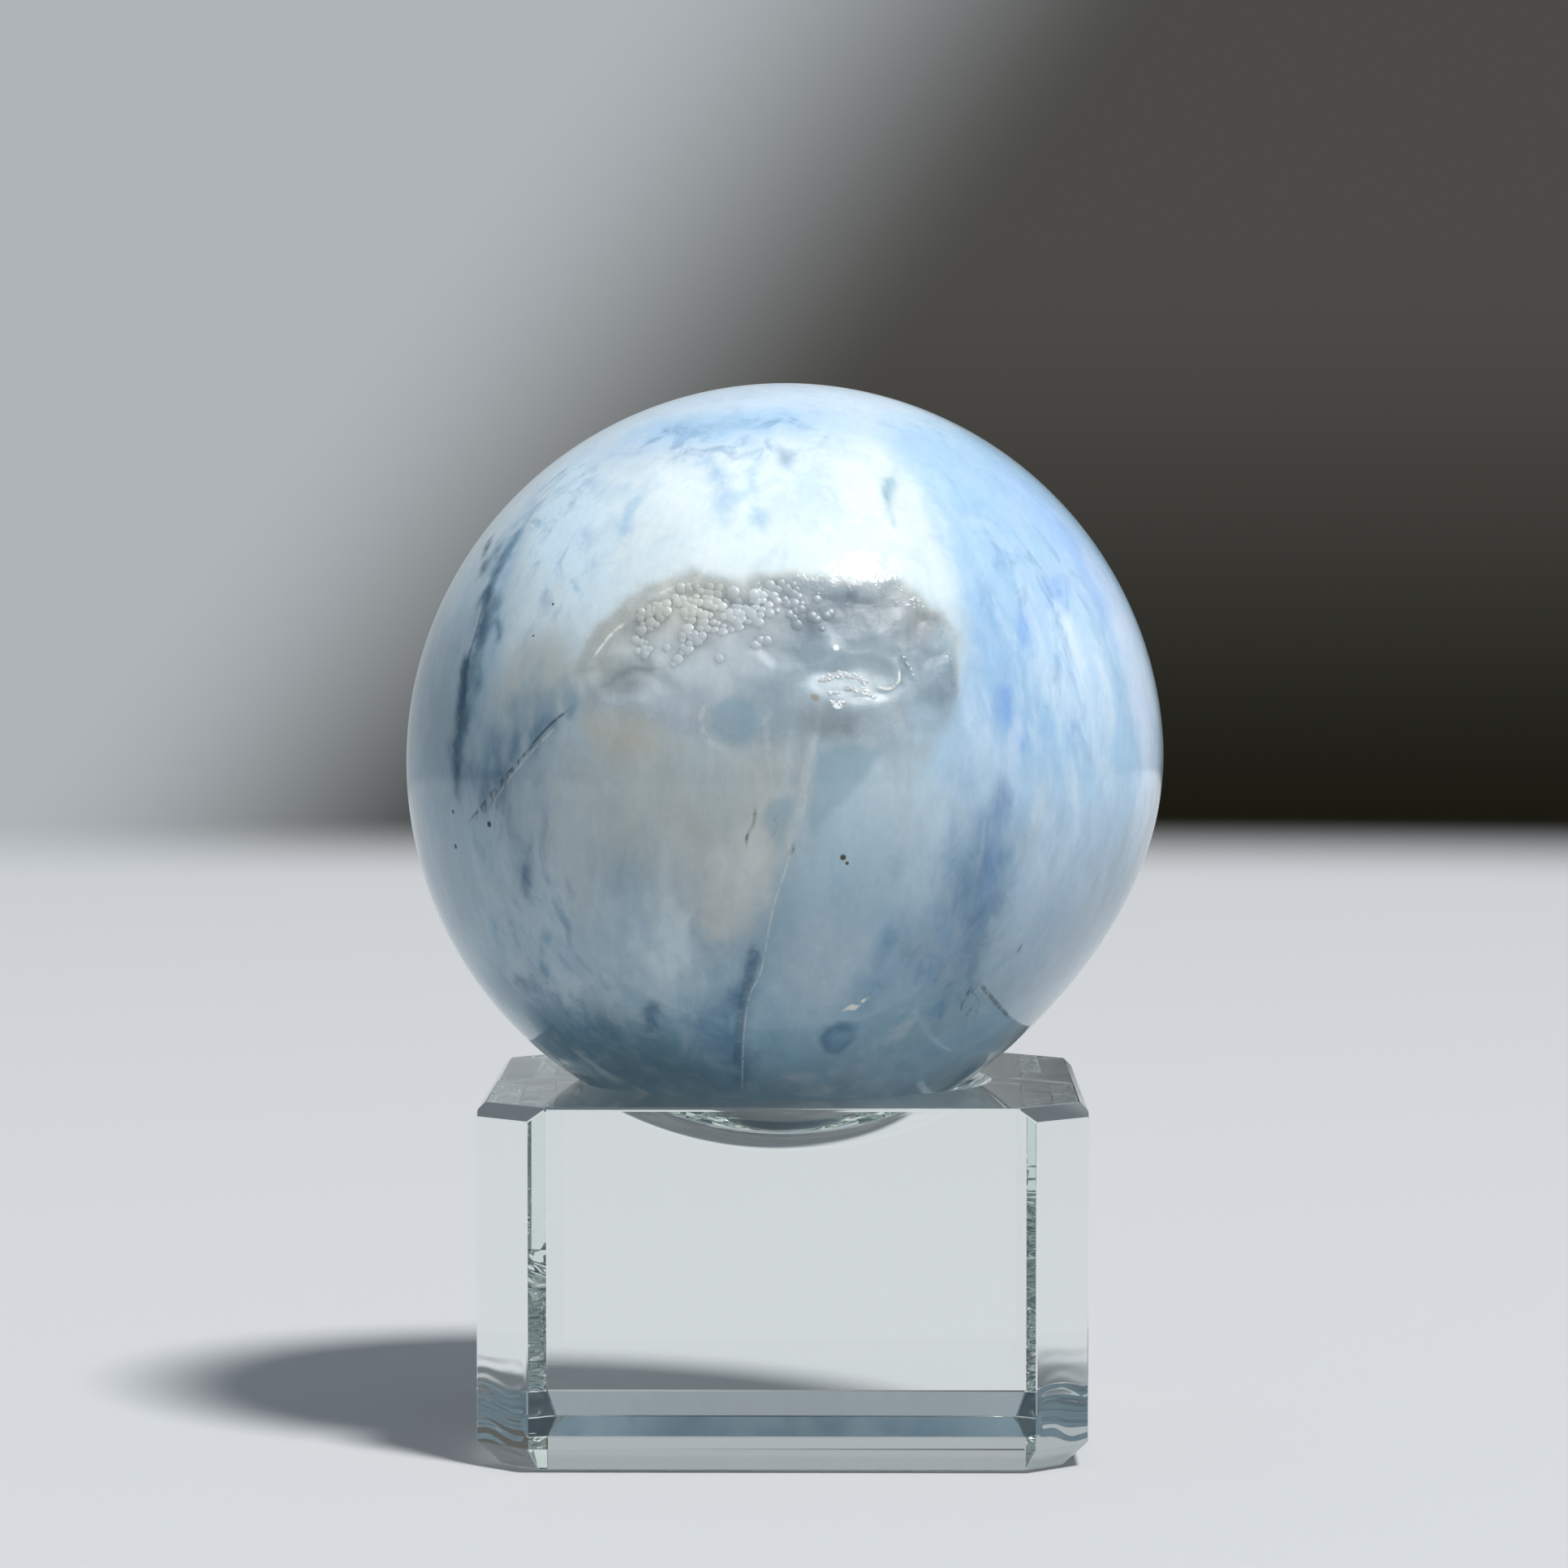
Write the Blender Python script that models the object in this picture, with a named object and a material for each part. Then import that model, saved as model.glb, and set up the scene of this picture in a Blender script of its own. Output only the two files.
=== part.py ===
"""A polished ball of common blue opal that rests in the dimple of a clear glass block.

Metres, +Z up. The origin is on the ground under the middle of the block, and the
stone's broken recess faces -Y. Sizes are named in millimetres and turned to metres
by MM.
"""

import math
import random

import bmesh
import bpy
import numpy as np
from mathutils import Vector

MM = 0.001
UP = Vector((0, 0, 1))

# The glass block: a square block with its corners cut off and its edges ground.
BLOCK_SIDE = 31.2
BLOCK_HEIGHT = 18.6
CORNER_CUT = 2.7
TOP_EDGE_FRONT = 0.15
TOP_EDGE_SIDE = 0.45
TOP_EDGE_BACK = 0.3
TOP_EDGE_CORNER = 0.75
FOOT_EDGE = 1.25

# The stone: a ball whose middle stands well above the block's top.
STONE_RADIUS = 20.0
STONE_ABOVE_BLOCK = 16.8
STONE_MIDDLE = BLOCK_HEIGHT + STONE_ABOVE_BLOCK
STONE_ROUNDS = 5

# The dimple is the ball's own curve, one gap larger.
TOUCHING_GAP = 0.3
DIMPLE_RADIUS = STONE_RADIUS + TOUCHING_GAP

# A broad worn place low on the right, which the ball's outline shows.
WORN_HEADING = Vector((0.735, -0.15, -0.66)).normalized()
WORN_DEPTH = 0.95
WORN_REACH = math.radians(46)

# The outline of the rough recess in front, right of and above the stone's middle.
RECESS_OUTLINE = [
    (-10.4, 5.2), (-9.5, 7.0), (-8.1, 8.0), (-6.8, 9.5), (-4.4, 10.2), (-2.9, 9.8),
    (-2.2, 9.2), (-1.5, 10.0), (2.9, 9.9), (6.2, 9.5), (7.0, 8.5), (7.9, 8.1),
    (8.7, 6.9), (8.7, 4.7), (7.9, 2.9), (5.8, 1.7), (3.4, 1.6), (1.6, 1.9),
    (0.2, 1.2), (-1.2, 1.3), (-3.1, 1.5), (-5.1, 2.3), (-7.3, 3.4), (-9.5, 3.6),
]
RECESS_DEPTH = 0.55
RECESS_WALL = 0.7
LEAST_CUT = 0.05

# Deeper hollows in it: right of middle, above middle, half width, half height, depth.
HOLLOW_SLOPE = 0.6
HOLLOWS = [
    (-7.7, 4.7, 1.9, 1.3, 0.75),
    (4.1, 4.5, 2.7, 1.5, 1.0),
    (-2.6, 3.3, 1.4, 1.3, 0.35),
    (7.0, 4.2, 1.4, 2.0, 0.3),
    (1.0, 6.6, 1.6, 1.1, 0.35),
]

# Rounded lobes that stand up in it: right of middle, above middle, radius, height.
LOBES = [
    (7.9, 6.9, 1.1, 0.35), (7.8, 5.2, 1.2, 0.35), (7.3, 2.9, 1.1, 0.35), (5.9, 2.4, 1.0, 0.3),
    (-4.6, 5.6, 1.5, 0.35), (-2.2, 6.4, 1.2, 0.3), (2.6, 7.9, 1.6, 0.3), (5.2, 7.4, 1.5, 0.35),
    (-0.4, 4.6, 1.3, 0.3), (-6.3, 7.9, 1.1, 0.3), (2.9, 4.9, 0.9, 0.6), (-5.6, 3.9, 1.1, 0.3),
]

# Small bubbles crowd the upper left of it in a loose honeycomb.
BUBBLE_PITCH = 1.15
BUBBLE_ROW = BUBBLE_PITCH * math.sqrt(3) / 2
BUBBLE_RADIUS = 0.62
BUBBLE_HEIGHT = 0.24
BUBBLE_FIELD = (-7.6, 6.6, 0.6, 9.8)
BUBBLE_DRIFT = 0.16
BUBBLE_SEED = 11

# Chipped ledges along the recess's upper left, as a line, its width and its rise.
LEDGE = [(-9.4, 6.0), (-8.2, 7.1), (-7.5, 7.5), (-6.2, 9.2), (-4.8, 9.5)]
LEDGE_WIDTH = 0.5
LEDGE_FADE = 1.5
LEDGE_RISE = 0.4

# The faces are halved again this near the recess, in millimetres, once for each value.
FINER_WITHIN = (1.0, 0.35)


def smooth(t):
    """0 below 0, 1 above 1, and an even ramp between."""
    t = np.clip(t, 0, 1)
    return t * t * (3 - 2 * t)


def distance_to_line(x, z, line):
    """How far each place is from the nearest point of a line."""
    nearest = np.full(len(x), np.inf)
    for (ax, az), (bx, bz) in zip(line, line[1:]):
        dx, dz = bx - ax, bz - az
        along = np.clip(((x - ax) * dx + (z - az) * dz) / (dx * dx + dz * dz), 0, 1)
        nearest = np.minimum(nearest, np.hypot(x - ax - along * dx, z - az - along * dz))
    return nearest


def inside_outline(x, z, outline):
    """Whether each place is inside a closed outline."""
    crossings = np.zeros(len(x), int)
    for (ax, az), (bx, bz) in zip(outline, outline[1:] + outline[:1]):
        spans = (az > z) != (bz > z)
        rise = bz - az if bz != az else 1.0
        crossings += spans & (x < ax + (z - az) * (bx - ax) / rise)
    return crossings % 2 == 1


def bubble_places():
    """The middles of the small bubbles, each a little off its place in the honeycomb."""
    left, low, right, high = BUBBLE_FIELD
    chance = random.Random(BUBBLE_SEED)
    places = []
    for row in range(int((high - low) / BUBBLE_ROW) + 1):
        for step in range(int((right - left) / BUBBLE_PITCH) + 1):
            x = left + (step + 0.5 * (row % 2)) * BUBBLE_PITCH + BUBBLE_DRIFT * chance.uniform(-1, 1)
            z = low + row * BUBBLE_ROW + BUBBLE_DRIFT * chance.uniform(-1, 1)
            places.append((x, z))
    return places


def recess_cut(x, z):
    """How deep the rough recess is at each place on the stone's front."""
    edge = distance_to_line(x, z, RECESS_OUTLINE + RECESS_OUTLINE[:1])
    within = np.where(inside_outline(x, z, RECESS_OUTLINE), edge, 0)
    share = smooth(within / RECESS_WALL)
    cut = np.full(len(x), RECESS_DEPTH)
    for hx, hz, half_width, half_height, depth in HOLLOWS:
        off = np.hypot((x - hx) / half_width, (z - hz) / half_height)
        cut += depth * smooth((1 - off) / HOLLOW_SLOPE)
    raised = np.zeros(len(x))
    for lx, lz, radius, height in LOBES:
        off = np.hypot(x - lx, z - lz) / radius
        raised = np.maximum(raised, height * np.sqrt(np.clip(1 - off ** 2, 0, 1)))
    for bx, bz in bubble_places():
        off = np.hypot(x - bx, z - bz) / BUBBLE_RADIUS
        raised = np.maximum(raised, BUBBLE_HEIGHT * np.sqrt(np.clip(1 - off ** 2, 0, 1)))
    ledge = LEDGE_RISE * smooth(LEDGE_FADE - distance_to_line(x, z, LEDGE) / LEDGE_WIDTH)
    return share * np.maximum(cut - np.maximum(raised, ledge), LEAST_CUT)


def stone_radius(heading):
    """The stone's radius in millimetres towards each heading, a unit vector a row."""
    radius = np.full(len(heading), STONE_RADIUS)
    off = np.arccos(np.clip(heading @ np.array(WORN_HEADING), -1, 1))
    radius -= WORN_DEPTH * (1 - smooth(off / WORN_REACH))
    front = heading[:, 1] < 0
    x, z = heading[front, 0] * STONE_RADIUS, heading[front, 2] * STONE_RADIUS
    radius[front] -= recess_cut(x, z)
    return radius


def surface(name, colour, roughness, **more):
    """A Principled material."""
    material = bpy.data.materials.new(name)
    material.use_nodes = True
    shader = material.node_tree.nodes["Principled BSDF"]
    shader.inputs["Base Color"].default_value = (*colour, 1)
    shader.inputs["Roughness"].default_value = roughness
    shader.inputs["Metallic"].default_value = 0
    for socket, value in more.items():
        shader.inputs[socket.replace("_", " ")].default_value = value
    return material


def put_in(thing, collection):
    """Moves an object from where it was made into a collection."""
    for other in thing.users_collection:
        other.objects.unlink(thing)
    collection.objects.link(thing)


def grind(block, normal, distance):
    """Takes off what lies beyond a plane and closes the cut."""
    every = block.verts[:] + block.edges[:] + block.faces[:]
    cut = bmesh.ops.bisect_plane(
        block, geom=every, dist=1e-7, plane_co=normal * distance, plane_no=normal, clear_outer=True
    )
    rim = [piece for piece in cut["geom_cut"] if isinstance(piece, bmesh.types.BMEdge)]
    bmesh.ops.contextual_create(block, geom=rim)


def make_glass_stand(collection, cutters):
    """The block, ground all round and cut by the dimple."""
    bpy.ops.mesh.primitive_cube_add(size=1)
    stand = bpy.context.object
    stand.name = stand.data.name = "glass_stand"
    put_in(stand, collection)
    block = bmesh.new()
    block.from_mesh(stand.data)
    for vert in block.verts:
        vert.co.x *= BLOCK_SIDE * MM
        vert.co.y *= BLOCK_SIDE * MM
        vert.co.z = (vert.co.z + 0.5) * BLOCK_HEIGHT * MM
    top_edges = (TOP_EDGE_SIDE, TOP_EDGE_BACK, TOP_EDGE_SIDE, TOP_EDGE_FRONT)
    for eighth in range(8):
        is_corner = eighth % 2 == 1
        angle = math.radians(45 * eighth)
        out = Vector((math.cos(angle), math.sin(angle), 0))
        reach = (BLOCK_SIDE - CORNER_CUT) / math.sqrt(2) if is_corner else BLOCK_SIDE / 2
        if is_corner:
            grind(block, out, reach * MM)
        top = TOP_EDGE_CORNER if is_corner else top_edges[eighth // 2]
        grind(block, (out + UP).normalized(), (reach + BLOCK_HEIGHT - top) / math.sqrt(2) * MM)
        grind(block, (out - UP).normalized(), (reach - FOOT_EDGE) / math.sqrt(2) * MM)
    bmesh.ops.recalc_face_normals(block, faces=block.faces)
    block.to_mesh(stand.data)
    block.free()

    bpy.ops.mesh.primitive_uv_sphere_add(
        segments=64, ring_count=48, radius=DIMPLE_RADIUS * MM, location=(0, 0, STONE_MIDDLE * MM)
    )
    ball = bpy.context.object
    ball.name = ball.data.name = "dimple_cutter"
    put_in(ball, cutters)
    ball.hide_render = True
    ball.display_type = "WIRE"
    dimple = stand.modifiers.new("dimple", "BOOLEAN")
    dimple.operation = "DIFFERENCE"
    dimple.solver = "EXACT"
    dimple.object = ball

    stand.data.materials.append(
        surface("clear_glass", (0.95, 0.98, 0.97), 0.02, Transmission_Weight=1.0, IOR=1.51)
    )
    return stand


def make_opal_sphere(collection):
    """The ball, with finer faces where its front is rough."""
    bpy.ops.mesh.primitive_ico_sphere_add(
        subdivisions=STONE_ROUNDS, radius=STONE_RADIUS * MM, location=(0, 0, STONE_MIDDLE * MM)
    )
    stone = bpy.context.object
    stone.name = stone.data.name = "opal_sphere"
    put_in(stone, collection)
    ball = bmesh.new()
    ball.from_mesh(stone.data)
    for margin in FINER_WITHIN:
        middles = np.array([edge.verts[0].co + edge.verts[1].co for edge in ball.edges]) / 2 / MM
        x, z = middles[:, 0], middles[:, 2]
        near = distance_to_line(x, z, RECESS_OUTLINE + RECESS_OUTLINE[:1]) < margin
        rough = (near | inside_outline(x, z, RECESS_OUTLINE)) & (middles[:, 1] < 0)
        edges = [edge for edge, is_rough in zip(ball.edges, rough) if is_rough]
        bmesh.ops.subdivide_edges(ball, edges=edges, cuts=1, use_grid_fill=True)
        bmesh.ops.triangulate(ball, faces=ball.faces)
    headings = np.array([vert.co.normalized() for vert in ball.verts])
    for vert, heading, radius in zip(ball.verts, headings, stone_radius(headings)):
        vert.co = Vector(heading) * float(radius) * MM
    bmesh.ops.recalc_face_normals(ball, faces=ball.faces)
    ball.to_mesh(stone.data)
    ball.free()
    stone.data.shade_smooth()
    stone.data.materials.append(
        surface("blue_opal", (0.50, 0.61, 0.72), 0.12, Subsurface_Weight=0.4, IOR=1.45)
    )
    return stone


for thing in list(bpy.data.objects):
    bpy.data.objects.remove(thing)
pieces = bpy.data.collections.new("blue_opal_sphere")
cutters = bpy.data.collections.new("cutters")
for group in (pieces, cutters):
    bpy.context.scene.collection.children.link(group)
make_glass_stand(pieces, cutters)
make_opal_sphere(pieces)
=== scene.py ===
import math

import bmesh
import bpy
import numpy as np
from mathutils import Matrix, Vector, noise


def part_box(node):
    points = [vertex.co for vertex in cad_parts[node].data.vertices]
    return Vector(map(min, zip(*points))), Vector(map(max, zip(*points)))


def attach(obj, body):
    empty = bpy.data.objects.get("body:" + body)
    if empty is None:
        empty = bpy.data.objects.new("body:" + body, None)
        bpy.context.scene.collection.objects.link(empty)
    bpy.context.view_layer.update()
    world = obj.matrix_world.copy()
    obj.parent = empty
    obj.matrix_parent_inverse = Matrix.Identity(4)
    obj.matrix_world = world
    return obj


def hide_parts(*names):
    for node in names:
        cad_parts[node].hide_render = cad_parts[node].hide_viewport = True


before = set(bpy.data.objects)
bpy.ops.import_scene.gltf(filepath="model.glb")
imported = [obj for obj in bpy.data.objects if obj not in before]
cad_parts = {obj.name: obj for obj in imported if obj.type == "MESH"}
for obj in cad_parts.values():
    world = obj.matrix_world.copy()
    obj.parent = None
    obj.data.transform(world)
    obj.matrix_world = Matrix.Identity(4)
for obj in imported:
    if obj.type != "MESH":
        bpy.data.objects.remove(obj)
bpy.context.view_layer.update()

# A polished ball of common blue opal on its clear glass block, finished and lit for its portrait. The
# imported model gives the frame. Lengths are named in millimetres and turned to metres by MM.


# The glass block. A square block of clear soda glass, sawn and then ground and polished flat:
# four corners are cut off, every edge has a narrow bevel and the foot a wider one, and a
# shallow dimple is polished into its top. It stands loose on the ground.

MM = 0.001
block_low, block_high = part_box("glass_stand")
BLOCK_SIDE = (block_high.x - block_low.x) / MM
BLOCK_HEIGHT = block_high.z / MM
CORNER_CUT = 2.7
TOP_EDGES = {0: 0.45, 2: 0.3, 4: 0.45, 6: 0.15}
CORNER_TOP_EDGE = 0.75
FOOT_EDGE = 1.25
ARRIS = 0.05
STONE_MIDDLE = 35.4
DIMPLE_RADIUS = 20.05
SHARP_FROM = math.radians(12)
UP = Vector((0, 0, 1))


def grind(block, normal, distance):
    """Takes off what lies beyond a plane and closes the cut."""
    every = block.verts[:] + block.edges[:] + block.faces[:]
    cut = bmesh.ops.bisect_plane(
        block, geom=every, dist=1e-7, plane_co=normal * distance * MM, plane_no=normal, clear_outer=True
    )
    rim = [piece for piece in cut["geom_cut"] if isinstance(piece, bmesh.types.BMEdge)]
    bmesh.ops.contextual_create(block, geom=rim)


block = bmesh.new()
bmesh.ops.create_cube(block, size=1)
for vert in block.verts:
    vert.co = Vector((vert.co.x * BLOCK_SIDE, vert.co.y * BLOCK_SIDE, (vert.co.z + 0.5) * BLOCK_HEIGHT)) * MM
for eighth in range(8):
    is_corner = eighth % 2 == 1
    angle = math.radians(45 * eighth)
    out = Vector((math.cos(angle), math.sin(angle), 0))
    reach = (BLOCK_SIDE - CORNER_CUT) / math.sqrt(2) if is_corner else BLOCK_SIDE / 2
    if is_corner:
        grind(block, out, reach)
    top_edge = CORNER_TOP_EDGE if is_corner else TOP_EDGES[eighth]
    grind(block, (out + UP).normalized(), (reach + BLOCK_HEIGHT - top_edge) / math.sqrt(2))
    grind(block, (out - UP).normalized(), (reach - FOOT_EDGE) / math.sqrt(2))
bmesh.ops.recalc_face_normals(block, faces=block.faces)
bmesh.ops.bevel(block, geom=block.edges[:], offset=ARRIS * MM, segments=1, affect="EDGES", profile=0.5)
block_mesh = bpy.data.meshes.new("glass_block")
block.to_mesh(block_mesh)
block.free()
glass_block = bpy.data.objects.new("glass_block", block_mesh)
bpy.context.scene.collection.objects.link(glass_block)

dimple_ball = bmesh.new()
bmesh.ops.create_uvsphere(dimple_ball, u_segments=160, v_segments=144, radius=DIMPLE_RADIUS * MM)
bmesh.ops.translate(dimple_ball, verts=dimple_ball.verts, vec=(0, 0, STONE_MIDDLE * MM))
dimple_mesh = bpy.data.meshes.new("dimple_tool")
dimple_ball.to_mesh(dimple_mesh)
dimple_ball.free()
dimple_tool = bpy.data.objects.new("dimple_tool", dimple_mesh)
bpy.context.scene.collection.objects.link(dimple_tool)
dimple_cut = glass_block.modifiers.new("dimple", "BOOLEAN")
dimple_cut.operation = "DIFFERENCE"
dimple_cut.solver = "EXACT"
dimple_cut.object = dimple_tool
cut_block = bpy.data.meshes.new_from_object(glass_block.evaluated_get(bpy.context.evaluated_depsgraph_get()))
glass_block.modifiers.clear()
glass_block.data = cut_block
bpy.data.objects.remove(dimple_tool)
cut_block.shade_smooth()
cut_block.set_sharp_from_angle(angle=SHARP_FROM)


def linear(hex_colour):
    """An sRGB hex colour as linear red, green, blue and alpha."""
    parts = [int(hex_colour[i:i + 2], 16) / 255 for i in (1, 3, 5)]
    return (*[p / 12.92 if p <= 0.04045 else ((p + 0.055) / 1.055) ** 2.4 for p in parts], 1)


def add_node(tree, kind, inputs=None, **settings):
    """Adds a node with its settings; an input is given a value or another node's output."""
    node = tree.nodes.new(kind)
    for name, value in settings.items():
        setattr(node, name, value)
    for name, value in (inputs or {}).items():
        if isinstance(value, bpy.types.NodeSocket):
            tree.links.new(value, node.inputs[name])
        else:
            node.inputs[name].default_value = value
    return node


# Polished soda glass: clear, with the faint grey-green of its iron, seen only through its
# whole depth. The cut corners keep the ripples of the wheel, strongest towards the foot. They
# lie 0.75 mm apart, which is the wave texture's scale of 420, and are a few microns high.
RIPPLE_SCALE = 420.0
RIPPLE_HEIGHT = 0.012
RIPPLED_SIDE = (13.0, 13.3)
RIPPLED_FOOT = (7.0, 2.0)
glass = bpy.data.materials.new("polished_soda_glass")
glass.use_nodes = True
tree = glass.node_tree
glass_shader = tree.nodes["Principled BSDF"]
GLASS_SETTINGS = {"Base Color": (1, 1, 1, 1), "Roughness": 0.0, "IOR": 1.515, "Transmission Weight": 1.0}
for socket, value in GLASS_SETTINGS.items():
    glass_shader.inputs[socket].default_value = value
absorption = add_node(tree, "ShaderNodeVolumeAbsorption", {"Color": linear("#b8e0c8"), "Density": 3.5})
tree.links.new(absorption.outputs["Volume"], tree.nodes["Material Output"].inputs["Volume"])
glass_place = add_node(tree, "ShaderNodeTexCoord").outputs["Object"]
ripples = add_node(
    tree, "ShaderNodeTexWave",
    {"Vector": glass_place, "Scale": RIPPLE_SCALE, "Distortion": 9.0, "Detail": 1.5, "Detail Scale": 0.6},
    bands_direction="Z",
)
glass_axes = add_node(tree, "ShaderNodeSeparateXYZ", {0: glass_place})
from_middle = add_node(tree, "ShaderNodeMath", {0: glass_axes.outputs["X"]}, operation="ABSOLUTE")
at_corner = add_node(
    tree, "ShaderNodeMapRange",
    {"Value": from_middle.outputs[0], "From Min": RIPPLED_SIDE[0] * MM, "From Max": RIPPLED_SIDE[1] * MM},
)
near_foot = add_node(
    tree, "ShaderNodeMapRange",
    {"Value": glass_axes.outputs["Z"], "From Min": RIPPLED_FOOT[0] * MM, "From Max": RIPPLED_FOOT[1] * MM},
)
rippled = add_node(
    tree, "ShaderNodeMath", {0: at_corner.outputs[0], 1: near_foot.outputs[0]}, operation="MULTIPLY"
)
ripple_height = add_node(
    tree, "ShaderNodeMath", {0: ripples.outputs["Fac"], 1: rippled.outputs[0]}, operation="MULTIPLY"
)
glass_relief = add_node(
    tree, "ShaderNodeBump", {"Height": ripple_height.outputs[0], "Distance": RIPPLE_HEIGHT * MM}
)
tree.links.new(glass_relief.outputs["Normal"], glass_shader.inputs["Normal"])
cut_block.materials.clear()
cut_block.materials.append(glass)
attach(glass_block, "root")
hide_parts("glass_stand")


# The opal. One ball of common blue opal, turned and polished all over but for the rough pocket
# of grey chalcedony in its front, which broke open along its bubbles. It is worn flat low on
# the right, and rests in the block's dimple by its own weight.

stone_low, stone_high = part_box("opal_sphere")
STONE_RADIUS = min(stone_high.x, -stone_low.x, stone_high.y, -stone_low.y) / MM
WORN_HEADING = Vector((0.735, -0.15, -0.66)).normalized()
WORN_DEPTH = 0.95
WORN_REACH = math.radians(46)

# The pocket's outline, right of and above the stone's middle.
POCKET = [
    (-10.4, 5.2), (-9.7, 6.9), (-8.3, 8.1), (-6.8, 9.5), (-4.4, 10.2), (-2.9, 9.9),
    (-1.9, 9.4), (-1.2, 10.0), (1.5, 10.0), (3.5, 9.7), (5.8, 9.8), (6.9, 8.8),
    (8.0, 8.1), (8.8, 6.9), (8.8, 4.4), (8.3, 3.0), (6.9, 1.6), (5.2, 1.4),
    (3.1, 1.6), (1.5, 1.9), (-0.5, 1.7), (-1.9, 1.9), (-4.5, 2.5), (-7.3, 3.3), (-9.4, 3.4),
]
POCKET_WALL = 0.9

# Its floor: hollows and lobes by their middle, half width, half height and how deep they go or how far
# they stand up, and ledges by their line and height.
HOLLOWS = [
    (-7.6, 4.9, 2.2, 1.5, 0.26), (-5.6, 6.8, 2.8, 1.7, 0.14), (-3.2, 8.4, 2.6, 1.4, 0.16),
    (0.4, 6.8, 2.1, 1.5, 0.14), (3.3, 8.2, 2.6, 1.3, 0.08), (3.9, 4.9, 2.6, 1.4, 0.2),
    (7.0, 6.2, 1.7, 1.7, 0.08),
]
LOBES = [
    (-7.2, 4.4, 1.3, 1.0, 0.16), (-4.3, 5.4, 1.7, 1.2, 0.07), (-1.4, 5.6, 1.3, 1.0, 0.08),
    (2.1, 6.2, 1.4, 0.9, 0.08), (5.9, 7.4, 1.6, 1.2, 0.1), (8.0, 4.8, 1.1, 1.4, 0.13),
    (7.7, 7.1, 1.1, 1.0, 0.1), (2.9, 4.9, 1.4, 0.5, 0.12),
]
LEDGES = [
    ([(-9.6, 5.6), (-8.8, 6.9), (-7.9, 7.7), (-7.2, 8.1)], 0.09),
    ([(-6.3, 9.0), (-5.4, 9.4), (-4.3, 9.7)], 0.09),
    ([(-9.3, 4.5), (-8.4, 5.3), (-7.5, 5.7), (-6.6, 5.6)], 0.08),
    ([(4.2, 4.3), (4.8, 4.5), (5.4, 4.5), (5.9, 4.9), (5.9, 5.5)], 0.1),
    ([(6.1, 6.2), (6.4, 5.7), (6.6, 5.1)], 0.08),
]
LOBE_SHARE, LOBE_SPREAD = 0.7, 1.2
LEDGE_GENTLE, LEDGE_STEEP = 0.8, 0.2

# Its broken surface: how wide the bumps are and how far they reach. Its floor lies this deep, deeper
# above, and comes up flush with the polish this far above the stone's middle.
ROUGHNESS = [(1.6, 0.07), (0.7, 0.026), (0.3, 0.007)]
FLOOR_DEPTH, SHALLOWEST = 0.07, 0.01
DEEPER_BY, DEEPER_FROM, DEEPER_OVER = 0.07, 5.0, 3.0
FLUSH_FROM, FLUSH_OVER = 2.6, 2.2


def smooth(t):
    """0 below 0, 1 above 1, and an even ramp between."""
    t = np.clip(t, 0, 1)
    return t * t * (3 - 2 * t)


def inside_outline(x, z, outline):
    """Whether each place is inside a closed outline."""
    crossings = np.zeros(len(x), int)
    for (ax, az), (bx, bz) in zip(outline, outline[1:] + outline[:1]):
        spans = (az > z) != (bz > z)
        rise = bz - az if bz != az else 1.0
        crossings += spans & (x < ax + (z - az) * (bx - ax) / rise)
    return crossings % 2 == 1


def past_line(x, z, line):
    """How far each place is off a line, and which side of it."""
    nearest = np.full(len(x), np.inf)
    side = np.ones(len(x))
    for (ax, az), (bx, bz) in zip(line, line[1:]):
        dx, dz = bx - ax, bz - az
        along = np.clip(((x - ax) * dx + (z - az) * dz) / (dx * dx + dz * dz), 0, 1)
        off = np.hypot(x - ax - along * dx, z - az - along * dz)
        closer = off < nearest
        nearest = np.where(closer, off, nearest)
        side = np.where(closer, np.sign((x - ax) * dz - (z - az) * dx), side)
    return nearest, side


def depth_inside(x, z, outline):
    """How far inside an outline each place is, less than 0 outside it."""
    edge, _ = past_line(x, z, outline + outline[:1])
    return np.where(inside_outline(x, z, outline), edge, -edge)


def dome(x, z, middle_x, middle_z, half_wide, half_high):
    """A round rise, 1 in its middle and 0 from its edge on."""
    off = ((x - middle_x) / half_wide) ** 2 + ((z - middle_z) / half_high) ** 2
    return np.clip(1 - off, 0, 1)


def pocket_cut(x, z, edge):
    """How deep the pocket is at each place, from how far inside its outline that is."""
    cut = FLOOR_DEPTH + DEEPER_BY * smooth((z - DEEPER_FROM) / DEEPER_OVER)
    for mx, mz, half_wide, half_high, deep in HOLLOWS:
        cut += deep * smooth(dome(x, z, mx, mz, half_wide, half_high))
    for mx, mz, half_wide, half_high, rise in LOBES:
        cut -= LOBE_SHARE * rise * smooth(LOBE_SPREAD * dome(x, z, mx, mz, half_wide, half_high))
    for line, rise in LEDGES:
        off, side = past_line(x, z, line)
        cut -= rise * np.where(side < 0, smooth(1 - off / LEDGE_GENTLE), smooth(1 - off / LEDGE_STEEP))
    for pitch, reach in ROUGHNESS:
        cut += reach * np.array([noise.noise(Vector((px, pz, 0)) / pitch) for px, pz in zip(x, z)])
    flush = smooth((z - FLUSH_FROM) / FLUSH_OVER)
    return smooth(edge / POCKET_WALL) * flush * np.maximum(cut, SHALLOWEST)


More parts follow.
